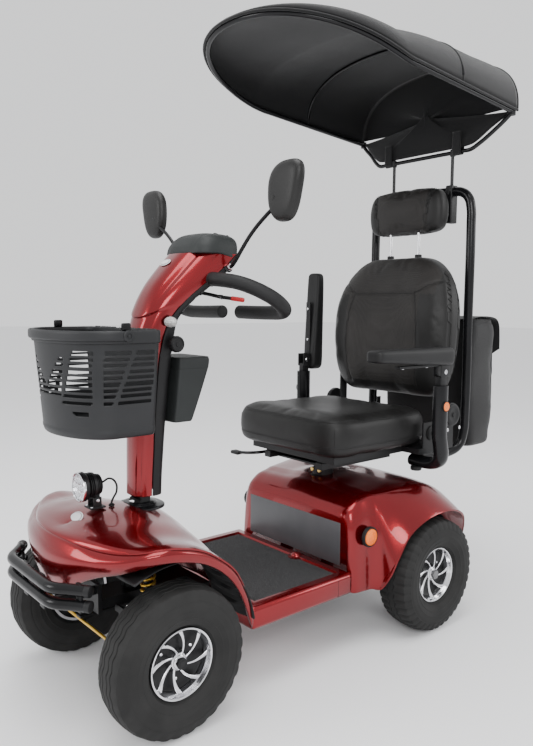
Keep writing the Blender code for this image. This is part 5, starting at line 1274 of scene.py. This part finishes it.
# height, then front, joint and back distances behind the front axle, and half width
TILLER = [
    (0.508, 0.040, 0.080, 0.116, 0.0455), (0.560, 0.041, 0.081, 0.118, 0.0465), (0.620, 0.042, 0.084, 0.122, 0.0480),
    (0.680, 0.0435, 0.086, 0.127, 0.0490), (0.740, 0.0455, 0.089, 0.133, 0.0505), (0.800, 0.0475, 0.093, 0.139, 0.0520),
    (0.860, 0.050, 0.098, 0.146, 0.0540), (0.900, 0.052, 0.104, 0.150, 0.0570), (0.940, 0.0555, 0.113, 0.155, 0.0610),
    (0.970, 0.0640, 0.125, 0.160, 0.0660), (1.000, 0.0760, 0.146, 0.180, 0.0730), (1.030, 0.0930, 0.175, 0.213, 0.0810),
    (1.060, 0.1150, 0.212, 0.252, 0.0880), (1.090, 0.1410, 0.252, 0.292, 0.0930), (1.120, 0.1685, 0.290, 0.322, 0.0960),
    (1.1475, 0.1960, 0.318, 0.345, 0.0980),
]


def smooth_step(t):
    t = min(1.0, max(0.0, t))
    return t * t * (3 - 2 * t)


def tiller_front(u, v):
    z, front, split, _, half = between(TILLER, v)
    a = (u - 0.5) * math.pi
    c, q = math.cos(a), math.sin(a)
    x = half * math.copysign(abs(q) ** 0.72, q)
    depth = abs(c) ** 0.80
    collar = smooth_step((z - 0.972 - 0.030 * abs(q) ** 2) / 0.008)
    head = smooth_step((z - 0.985) / 0.10)
    crease = math.exp(-((abs(x) / half - 0.66) / 0.085) ** 2)
    centre = math.exp(-((x / half) / 0.50) ** 4)
    y = split - (split - front) * depth
    y -= 0.0035 * collar * depth ** 0.5 + (0.010 * centre * head - 0.0075 * crease * head) * depth ** 0.3
    low_crease = math.exp(-((abs(x) / half - 0.74) / 0.10) ** 2) * (1 - head)
    y += 0.0026 * low_crease
    x *= 1 + 0.020 * collar * (1 - head * 0.8)
    return Vector((x, FRONT_AXLE + y - 0.0004, z))


def tiller_back(u, v):
    z, _, split, back, half = between(TILLER, v)
    a = (0.5 - u) * math.pi
    c, q = math.cos(a), math.sin(a)
    x = half * math.copysign(abs(q) ** 0.62, q) * (0.985 + 0.010 * abs(q) ** 8)
    y = split + (back - split) * abs(c) ** 0.62
    groove = math.exp(-((z - 1.030) / 0.004) ** 2) + math.exp(-((z - 0.880) / 0.003) ** 2)
    return Vector((x * (1 - 0.014 * groove), FRONT_AXLE + y - 0.0018 * groove + 0.0006, z))


red_front = walled(pulled("front", candy_red, 84, 150, tiller_front, 60), 0.003, edge=0.0007)
logo_parts = []
for name, made_of, size_x, size_z, lift in (("back", badge_white, 0.0215, 0.0125, 0.0), ("ring", badge_grey, 0.0190, 0.0102, 0.0011),
                                            ("face", badge_white, 0.0170, 0.0086, 0.0016)):
    oval = turned(name, made_of, (0, 0, 0), (0, 0, 1), [(0, 0), (0, 1), (0.0012, 1), (0.0016, 0.96), (0.0018, 0)], 40)
    tip = Matrix.Rotation(math.radians(44), 4, "X")
    for v in oval.data.vertices:
        v.co = tip @ Vector((v.co.x * size_x, v.co.y * size_z, v.co.z + lift)) + Vector((0, FRONT_AXLE + 0.1545, 1.122))
    logo_parts.append(oval)
as_one("tiller_cover", [red_front], "tiller", "red_paint", "tiller_front_shell")
as_one("tiller_badge", logo_parts, "tiller", "black_plastic")

parts = [walled(pulled("rear", case_black, 72, 130, tiller_back, 60), 0.003, edge=0.0007)]
for s in (-1, 1):
    for z, y, x in ((0.566, 0.0935, 0.0460), (0.718, 0.1010, 0.0496), (0.868, 0.1110, 0.0538), (0.990, 0.1560, 0.0710),
                    (1.040, 0.2080, 0.0845)):
        parts.append(turned("screw", gloss_black, (s * x, FRONT_AXLE + y, z), (s, 0, 0),
                            [(-0.002, 0.0052), (0.0010, 0.0052), (0.0024, 0.0040), (0.0026, 0.0022), (0.0012, 0.0020), (0.0012, 0)], 24))
as_one("tiller_back_cover", parts, "tiller", "black_plastic", "tiller_rear_shell")

console_grey = surface("console_plastic", (0.0136, 0.0155, 0.0155), (0.0198, 0.0223, 0.0223), (0.46, 0.58), 0.0, 900, 0.35, 6)
CAP_ROWS = [(0.0965, 0.0740, 0.271, 1.1470), (0.0998, 0.0762, 0.2715, 1.1485), (0.1000, 0.0762, 0.2725, 1.1560), (0.0985, 0.0745, 0.275, 1.1680),
            (0.0940, 0.0700, 0.2785, 1.1800), (0.0865, 0.0630, 0.280, 1.1900), (0.0740, 0.0525, 0.280, 1.1975), (0.0560, 0.0385, 0.279, 1.2025),
            (0.0300, 0.0200, 0.2785, 1.2045), (0.0, 0.0, 0.278, 1.2048)]


def cap_form(u, v):
    half_x, half_y, mid, z = between(CAP_ROWS, v)
    x, y = soft_ring(u, max(half_x, 0.0), max(half_y, 0.0), 3.2)
    crease = math.exp(-((abs(x) - 0.060) / 0.007) ** 2) * (1 if y < 0 else 0.3) * smooth_step(v * 4) * smooth_step((0.9 - v) * 4)
    low_back = 0.016 * smooth_step((y + 0.02) / 0.09) * smooth_step((1.162 - z) / 0.014)
    return Vector((x * (1 - 0.012 * crease), FRONT_AXLE + mid + y + 0.0022 * crease, z - 0.0006 * crease - low_back))


seal = turned("seal", case_black, (0, 0, 0), (0, 0, 1), [(0, 0), (0, 1), (1, 1), (1, 0)], 64)
for v in seal.data.vertices:
    a = math.atan2(v.co.y, v.co.x)
    far = min(1.0, math.hypot(v.co.x, v.co.y))
    x, y = soft_ring(a / (2 * math.pi), 0.0960 * far, 0.0730 * far, 3.2)
    v.co = Vector((x, FRONT_AXLE + 0.271 + y, 1.1462 + v.co.z * 0.0030))
parts = [pulled("cap", console_grey, 96, 48, cap_form, 60), seal]
face = Matrix.Translation((0, FRONT_AXLE + 0.318, 1.1950)) @ Matrix.Rotation(math.radians(-33), 4, "X")
controls = [
    turned("dial_base", case_black, (0, 0, 0.000), (0, 0, 1), [(-0.004, 0), (-0.004, 0.0185), (0.003, 0.0180), (0.0035, 0)], 40),
    turned("dial", case_black, (0, 0, 0.003), (0, 0, 1), [(0, 0), (0, 0.0135), (0.009, 0.0122), (0.0105, 0.010), (0.0107, 0)], 14, 20),
    block("dial_mark", badge_white, (-0.0007, 0.004, 0.0134), (0.0007, 0.0115, 0.0142), 0.0002),
    block("gauge_frame", case_black, (-0.066, -0.010, -0.0035), (-0.026, 0.010, 0.0020), 0.002),
    block("gauge", orange, (-0.062, -0.0065, 0.0015), (-0.030, 0.0065, 0.0025), 0.0008),
    turned("key_collar", bright_steel, (0.038, 0, -0.003), (0, 0, 1), [(0, 0), (0, 0.0095), (0.005, 0.0088), (0.0055, 0.006), (0.0045, 0)], 32),
    block("key_slot", case_black, (0.0372, -0.0045, 0.0015), (0.0388, 0.0045, 0.0028), 0.0002),
    block("rocker", case_black, (0.054, -0.009, -0.005), (0.067, 0.009, 0.0015), 0.0016),
]
for part in controls:
    part.data.transform(face)
as_one("console", parts + controls, "tiller", "grey_plastic", "console_cap")

# ---- Storage box, knob and indicators --------------------------------------------------------------------------
# A small moulded box with a lid clips to the back of the tiller. A ribbed knob locks the tiller's
# tilt, and a clear faceted lens in a black cup stands out on each side.
BOX_ROWS = [(0.0, 0.132, 0.190, 0.7005), (0.069, 0.134, 0.188, 0.7005), (0.0735, 0.132, 0.1925, 0.7040), (0.0740, 0.1325, 0.196, 0.7100),
            (0.0740, 0.138, 0.217, 0.7600), (0.0740, 0.1435, 0.2365, 0.8100), (0.0740, 0.1465, 0.2470, 0.8380), (0.0728, 0.1475, 0.2470, 0.8395),
            (0.0728, 0.1475, 0.2475, 0.8410), (0.0740, 0.1468, 0.2490, 0.8425), (0.0740, 0.1480, 0.2515, 0.8600), (0.0725, 0.1490, 0.2500, 0.8690),
            (0.0670, 0.1530, 0.2440, 0.8720), (0.0, 0.1950, 0.2000, 0.8725)]


def box_form(u, v):
    half_x, front, back, z = between(BOX_ROWS, v)
    x, y = soft_ring(u, max(half_x, 0.0), max((back - front) / 2, 0.0) if half_x > 0.001 else 0.0, 9.0)
    return Vector((x, FRONT_AXLE + (front + back) / 2 + y, z))


as_one("carry_box", [pulled("carry", console_grey, 88, 78, box_form, 50)], "tiller", "grey_plastic", "storage_box")

hub = Vector((0.0605, FRONT_AXLE + 0.138, 0.908))
parts = [turned("knob", case_black, hub, (1, 0, 0),
                [(0, 0), (0, 0.010), (0.007, 0.010), (0.0075, 0.0185), (0.010, 0.0208), (0.022, 0.0208), (0.0255, 0.0185), (0.0265, 0.0160),
                 (0.0245, 0.0145), (0.0240, 0.0070), (0.0255, 0.0060), (0.0258, 0)], 60, 25)]
for k in range(18):
    a = 2 * math.pi * k / 18
    parts.append(turned("rib", case_black, hub + Vector((0, 0.0202 * math.cos(a), 0.0202 * math.sin(a))), (1, 0, 0),
                        [(0.010, 0), (0.010, 0.0012), (0.011, 0.0016), (0.021, 0.0016), (0.022, 0.0012), (0.022, 0)], 8, 50))
as_one("lock_knob", parts, "tilt_knob", "black_plastic", "tiller_knob")

lens = surface("indicator_lens", (0.60, 0.60, 0.58), (0.86, 0.86, 0.84), (0.06, 0.14), 0.0, 240, 0.05, 60)
lens.node_tree.nodes["Principled BSDF"].inputs["Transmission Weight"].default_value = 0.35
tree, link = lens.node_tree.nodes, lens.node_tree.links.new
facets = tree.new("ShaderNodeTexVoronoi")
facets.inputs["Scale"].default_value = 230
cut = tree.new("ShaderNodeBump")
cut.inputs["Strength"].default_value = 0.8
cut.inputs["Distance"].default_value = 0.002
link(tree["Texture Coordinate"].outputs["Object"], facets.inputs["Vector"])
link(facets.outputs["Distance"], cut.inputs["Height"])
link(cut.outputs["Normal"], tree["Principled BSDF"].inputs["Normal"])
for s, side in ((1, "left"), (-1, "right")):
    foot = Vector((s * 0.0690, FRONT_AXLE + 0.120, 0.966))
    out = Vector((s, -0.2, 0)).normalized()
    cup = turned("cup", case_black, foot, out, [(-0.006, 0), (-0.006, 0.0110), (0.002, 0.0150), (0.006, 0.0168), (0.0085, 0.0166), (0.0085, 0)], 40)
    glow = turned("glow", lens, foot, out, [(0.0083, 0.0), (0.0083, 0.0158), (0.0130, 0.0164), (0.0210, 0.0150), (0.0300, 0.0118), (0.0370, 0.0076),
                                             (0.0402, 0.0034), (0.0408, 0)], 40, 60)
    for part in (cup, glow):
        for v in part.data.vertices:
            v.co.z = foot.z + (v.co.z - foot.z) * 0.86
    as_one(f"indicator_lamp_{side}", [cup, glow], "tiller", "clear_lens", f"indicator_{side}")

# ---- Handlebar and throttle -------------------------------------------------------------------------------------
# A steel bar in black foam runs through the tiller and bends back into an open loop on each side.
# The wig-wag throttle under it is a black lever with red thumb tips.
foam = surface("grip_foam", (0.0063, 0.0063, 0.0065), (0.0100, 0.0100, 0.0105), (0.50, 0.62), 0.0, 700, 0.5, 5)
tip_red = surface("tip_red", (0.42, 0.012, 0.014), (0.55, 0.020, 0.020), (0.30, 0.42), 0.0, 500, 0.15)
GRIP = [(0.040, 0.2372, 1.0816), (0.070, 0.2400, 1.0800), (0.100, 0.2440, 1.0780), (0.135, 0.2550, 1.0745), (0.170, 0.2700, 1.0680), (0.203, 0.2900, 1.0555),
        (0.228, 0.3120, 1.0400), (0.243, 0.3320, 1.0250), (0.248, 0.3480, 1.0120), (0.244, 0.3620, 1.0020), (0.232, 0.3720, 0.9950), (0.210, 0.3765, 0.9910),
        (0.180, 0.3780, 0.9900), (0.110, 0.3760, 0.9900), (0.042, 0.3740, 0.9910)]
parts = [bent("bar", gloss_black, [(-0.060, FRONT_AXLE + 0.2375, 1.0815), (0, FRONT_AXLE + 0.2368, 1.082), (0.060, FRONT_AXLE + 0.2375, 1.0815)], 0.0145, 24)]
for s in (-1, 1):
    line = [Vector((s * x, FRONT_AXLE + y, z)) for x, y, z in GRIP]
    parts.append(bent("grip", foam, line, 0.0190, 28, 6))
    way = (line[-1] - line[-2]).normalized()
    parts.append(turned("grip_end", foam, line[-1], way, [(-0.004, 0.0), (-0.004, 0.0186), (0.0002, 0.0190), (0.0026, 0.0182), (0.0042, 0.0160), (0.0050, 0.011),
                                                          (0.0048, 0)], 28))
    start = Vector((s * 0.0860, FRONT_AXLE + 0.2420, 1.0790))
    parts.append(turned("grip_collar", case_black, start, (s, 0.14, -0.06), [(-0.004, 0.0150), (-0.004, 0.0205), (0.003, 0.0205), (0.005, 0.0192), (0.005, 0.0150),
                                                                             (-0.004, 0.0150)], 36))
as_one("grip_bar", parts, "tiller", "black_plastic", "handlebar")

hub = Vector((0, FRONT_AXLE + 0.262, 1.044))
wing = [(0, 0.268, 1.044), (0.030, 0.274, 1.0395), (0.070, 0.286, 1.0320), (0.100, 0.301, 1.0280), (0.130, 0.316, 1.0240)]
parts = [turned("hub", case_black, hub, (0, 0, 1), [(-0.006, 0), (-0.006, 0.0135), (0.006, 0.0135), (0.008, 0.012), (0.008, 0)], 32)]
for s in (-1, 1):
    line = [Vector((s * x, FRONT_AXLE + y, z)) for x, y, z in wing]
    parts.append(bent("wing", case_black, line, 0.0052, 16, 5))
    tip = bent("tip", tip_red, [line[3], line[3].lerp(line[4], 0.5), line[4]], 0.0064, 20, 4)
    parts.append(tip)
    parts.append(turned("tip_end", tip_red, line[4], line[4] - line[3], [(-0.001, 0), (-0.001, 0.0064), (0.0022, 0.0056), (0.0036, 0.0032), (0.0040, 0)], 20))
    parts.append(turned("clip", bright_steel, line[2], line[3] - line[2], [(-0.004, 0.0050), (-0.004, 0.0066), (0.004, 0.0066), (0.004, 0.0050), (-0.004, 0.0050)], 20))
as_one("throttle_wings", parts, "throttle", "black_plastic", "throttle_lever")

# ---- Basket and its handle ---------------------------------------------------------------------------------------
# A moulded dark grey basket tapers to a rounded foot. Rows of slots are cut through its sides in
# slanted groups, under a deep rim. A strap handle lies round the rim on two pivot buttons.
basket_grey = surface("basket_plastic", (0.0129, 0.0135, 0.0146), (0.0190, 0.0195, 0.0209), (0.40, 0.52), 0.0, 620, 0.3, 6)
BASKET_Y, BASKET_FOOT, BASKET_RIM = FRONT_AXLE + 0.030, 0.695, 0.9195
AROUND, UP = 260, 96


def basket_line(u, k, inset=0.0):
    """The basket's outline from the middle of its back, round the left side and the nose."""
    if u > 0.5:
        other = basket_line(1 - u, k, inset)
        return Vector((-other.x, other.y, 0))
    half, side, nose = 0.190 * k - inset, 0.110 * (0.75 + 0.25 * k), 0.114 * k - inset
    back = BASKET_Y - inset
    if u < 0.165:
        return Vector(((half - 0.022) * u / 0.165, back, 0))
    if u < 0.195:
        a = math.pi / 2 * (u - 0.165) / 0.030
        return Vector((half - 0.022 + 0.022 * math.sin(a), back - 0.022 + 0.022 * math.cos(a), 0))
    if u < 0.275:
        return Vector((half, back - 0.022 + (0.022 - side) * (u - 0.195) / 0.080, 0))
    a = math.pi / 2 * (u - 0.275) / 0.225
    return Vector((half * math.cos(a), back - side - nose * math.sin(a), 0))


RIM_ROWS = [(0.960, 0.9195), (0.972, 0.9197), (0.992, 0.9203), (0.999, 0.9222), (1.000, 0.9250), (1.000, 0.9350), (1.000, 0.9450), (0.998, 0.9485),
            (0.992, 0.9498), (0.978, 0.9498), (0.970, 0.9480), (0.967, 0.9420), (0.966, 0.9340)]


def basket_form(u, v):
    i = v * UP
    if i < 5:
        t = i / 5 * math.pi / 2
        k, z = 0.800 + 0.040 * math.sin(t), BASKET_FOOT + 0.012 * (1 - math.cos(t))
    elif i <= 84:
        z = 0.707 + (i - 5) * (BASKET_RIM - 0.707) / 79
        k = 0.840 + 0.120 * (z - 0.707) / (BASKET_RIM - 0.707) + 0.007 * (1 - smooth_step((z - 0.712) / 0.004))
    else:
        place = (i - 84) / 12 * (len(RIM_ROWS) - 1)
        j = min(int(place), len(RIM_ROWS) - 2)
        f = place - j
        k, z = (RIM_ROWS[j][n] * (1 - f) + RIM_ROWS[j + 1][n] * f for n in (0, 1))
    flat = basket_line(u, k)
    return Vector((flat.x, flat.y, z))


along_rim = [0.0]
for j in range(500):
    along_rim.append(along_rim[-1] + (basket_line(0.5 - (j + 1) / 1000, 1.0) - basket_line(0.5 - j / 1000, 1.0)).length)


def in_slot(u, z):
    """Whether a place on the wall is open: u round the basket, and the height."""
    k = 0.840 + 0.120 * (z - 0.707) / (BASKET_RIM - 0.707)
    s = along_rim[min(500, round(abs(u - 0.5) * 1000))] * k ** 0.8
    if 0.7495 < z < 0.7610:
        return 0.094 + (0.7610 - z) * 1.0 < s < 0.144
    row = (z - 0.7775) / 0.0145
    if not 0 <= row < 9 or row % 1 > 0.60:
        return False
    t = (0.905 - z) / 0.130
    groups = [(0.113 - 0.050 * t, 0.167 - 0.015 * t), (0.194 - 0.015 * t, 0.262 - 0.062 * t), (0.274 - 0.062 * t, 0.323 - 0.026 * t)]
    if z > 0.797:
        groups.append((max(-0.01, 0.074 - 0.95 * (0.895 - z)), 0.084 - 0.024 * t))
    return any(b - a > 0.009 and a < s < b for a, b in groups)


wall = open_piece("wall")
bpy.ops.mesh.primitive_grid_add(x_subdivisions=AROUND, y_subdivisions=UP, size=1)
drawn = bmesh.from_edit_mesh(wall.data)
gone = []
for f in drawn.faces:
    c = f.calc_center_median()
    place = basket_form(c.x + 0.5, c.y + 0.5)
    if place.z < 0.915 and in_slot(c.x + 0.5, place.z):
        gone.append(f)
bmesh.ops.delete(drawn, geom=gone, context="FACES")
for v in drawn.verts:
    v.co = basket_form(v.co.x + 0.5, v.co.y + 0.5)
bmesh.update_edit_mesh(wall.data)
close_piece(wall, basket_grey, 50)


def foot_form(u, v):
    edge = basket_line(u, 0.802)
    centre = Vector((0, BASKET_Y - 0.100, 0))
    spot = centre.lerp(edge, v)
    return Vector((spot.x, spot.y, BASKET_FOOT + 0.0004 + 0.0030 * (1 - smooth_step((v - 0.78) / 0.06)) * (1 if v < 0.9 else 0)))


parts = [walled(wall, 0.0028, -1.0), walled(pulled("foot", basket_grey, 130, 24, foot_form, 50), 0.0026, 1.0)]
for s in (-1, 1):
    parts.append(block("hook", case_black, (s * 0.060 - 0.012, BASKET_Y - 0.002, 0.880), (s * 0.060 + 0.012, BASKET_Y + 0.0060, 0.948), 0.002))
    parts.append(block("ear", gloss_black, (s * 0.1850 - 0.004, BASKET_Y - 0.110, 0.9490), (s * 0.1850 + 0.004, BASKET_Y - 0.086, 0.9680), 0.004, 4))
as_one("carry_basket", parts, "basket", "black_plastic", "basket")

STRAP_Z, STRAP_PIN = BASKET_RIM + 0.0185, BASKET_Y - 0.098


def strap_form(u, v):
    a = math.pi * u
    out = 0.0030
    half, nose = 0.190 + out, 0.114 + out
    side = 0.110
    if u < 0.03:
        x, y = half, STRAP_PIN - (STRAP_PIN - (BASKET_Y - side)) * u / 0.03
    elif u > 0.97:
        x, y = -half, STRAP_PIN - (STRAP_PIN - (BASKET_Y - side)) * (1 - u) / 0.03
    else:
        a = math.pi * (u - 0.03) / 0.94
        x, y = half * math.cos(a), BASKET_Y - side - nose * math.sin(a)
    crown = 0.0022 * (1 - (2 * v - 1) ** 6)
    push = Vector((x, (y - STRAP_PIN) * 1.5, 0)).normalized() * crown
    return Vector((x + push.x, y + push.y, STRAP_Z + (v - 0.5) * 0.0195))


parts = [walled(pulled("band", basket_grey, 120, 12, strap_form, 50), 0.0024, 1.0, 0.0006)]
for s in (-1, 1):
    pin = Vector((s * 0.1935, STRAP_PIN, STRAP_Z))
    parts.append(turned("button", basket_grey, pin, (s, 0, 0), [(-0.001, 0), (-0.001, 0.0135), (0.0052, 0.0132), (0.0065, 0.0115), (0.0065, 0.0075), (0.0050, 0.0068),
                                                                 (0.0050, 0.0035), (0.0068, 0.0030), (0.0070, 0)], 40))
as_one("strap_handle", parts, "basket_handle", "black_plastic", "basket_handle")

# ---- Mirrors -------------------------------------------------------------------------------------------------------
# Each mirror is a rounded black housing with silvered glass, on a slim bent stalk that screws into
# the head with a bright nut.
silver = surface("mirror_glass", (0.70, 0.72, 0.73), (0.78, 0.79, 0.80), (0.02, 0.04), 1.0, 120, 0.01)
housing = surface("mirror_housing", (0.0096, 0.0095, 0.0093), (0.0144, 0.0141, 0.0138), (0.34, 0.46), 0.0, 700, 0.25, 7)
HEAD_ROWS = [(0.0110, 0.900), (0.0120, 0.930), (0.0118, 0.965), (0.0090, 0.995), (0.0030, 1.000), (-0.0040, 0.975), (-0.0100, 0.900), (-0.0138, 0.780),
             (-0.0158, 0.600), (-0.0166, 0.380), (-0.0170, 0.150), (-0.0171, 0.0)]
for s, side in ((1, "left"), (-1, "right")):
    foot = Vector((s * 0.0985, FRONT_AXLE + 0.292, 1.110))
    line = [foot, foot + Vector((s * 0.012, 0.0, 0.004)), foot + Vector((s * 0.026, 0.001, 0.016)), foot + Vector((s * 0.048, 0.003, 0.042)),
            foot + Vector((s * 0.090, 0.006, 0.086)), foot + Vector((s * 0.145, 0.008, 0.126)), Vector((s * 0.272, FRONT_AXLE + 0.300, 1.252))]
    middle = Vector((s * 0.304, FRONT_AXLE + 0.306, 1.290))

    def housing_form(u, v):
        along, k = between(HEAD_ROWS, v)
        k = max(0.0, k)
        x, z = soft_ring(u, 0.059 * k, 0.074 * k, 2.7)
        x *= 1 + 0.16 * z / 0.074 - 0.05
        x += s * 0.12 * z + s * 0.007 * (z / 0.074) ** 2 * k
        return middle + Vector((x, along, z))

    def glass_form(u, v):
        x, z = soft_ring(u, 0.0545 * v, 0.0695 * v, 2.7)
        x *= 1 + 0.16 * z / 0.074 - 0.05
        return middle + Vector((x + s * 0.12 * z + s * 0.007 * (z / 0.074) ** 2 * v, 0.0106 - 0.0006 * v * v, z))

    neck_foot = line[-1] + (line[-2] - line[-1]).normalized() * 0.002
    neck_way = Vector((s * 0.42, 0.06, 0.90)).normalized()
    parts = [bent("stalk", gloss_black, line, 0.0052, 16, 6),
             turned("nut", chrome, foot + Vector((s * 0.0015, 0, 0.0005)), (s, 0, 0.33), [(-0.003, 0), (-0.003, 0.0100), (0.0065, 0.0100), (0.0085, 0.0085), (0.0085, 0)], 6),
             turned("washer", case_black, foot + Vector((s * -0.002, 0, 0)), (s, 0, 0.33), [(-0.002, 0), (-0.002, 0.0125), (0.0005, 0.0125), (0.001, 0)], 28),
             turned("neck", housing, neck_foot, neck_way, [(-0.006, 0), (-0.006, 0.0075), (0.0, 0.0085), (0.010, 0.0085), (0.022, 0.0125), (0.030, 0.0145), (0.034, 0)], 28),
             pulled("housing", housing, 64, 40, housing_form, 60), pulled("glass", silver, 64, 10, glass_form, 40)]
    as_one(f"mirror_set_{side}", parts, f"mirror_{side}", "black_steel", f"mirror_{side}")
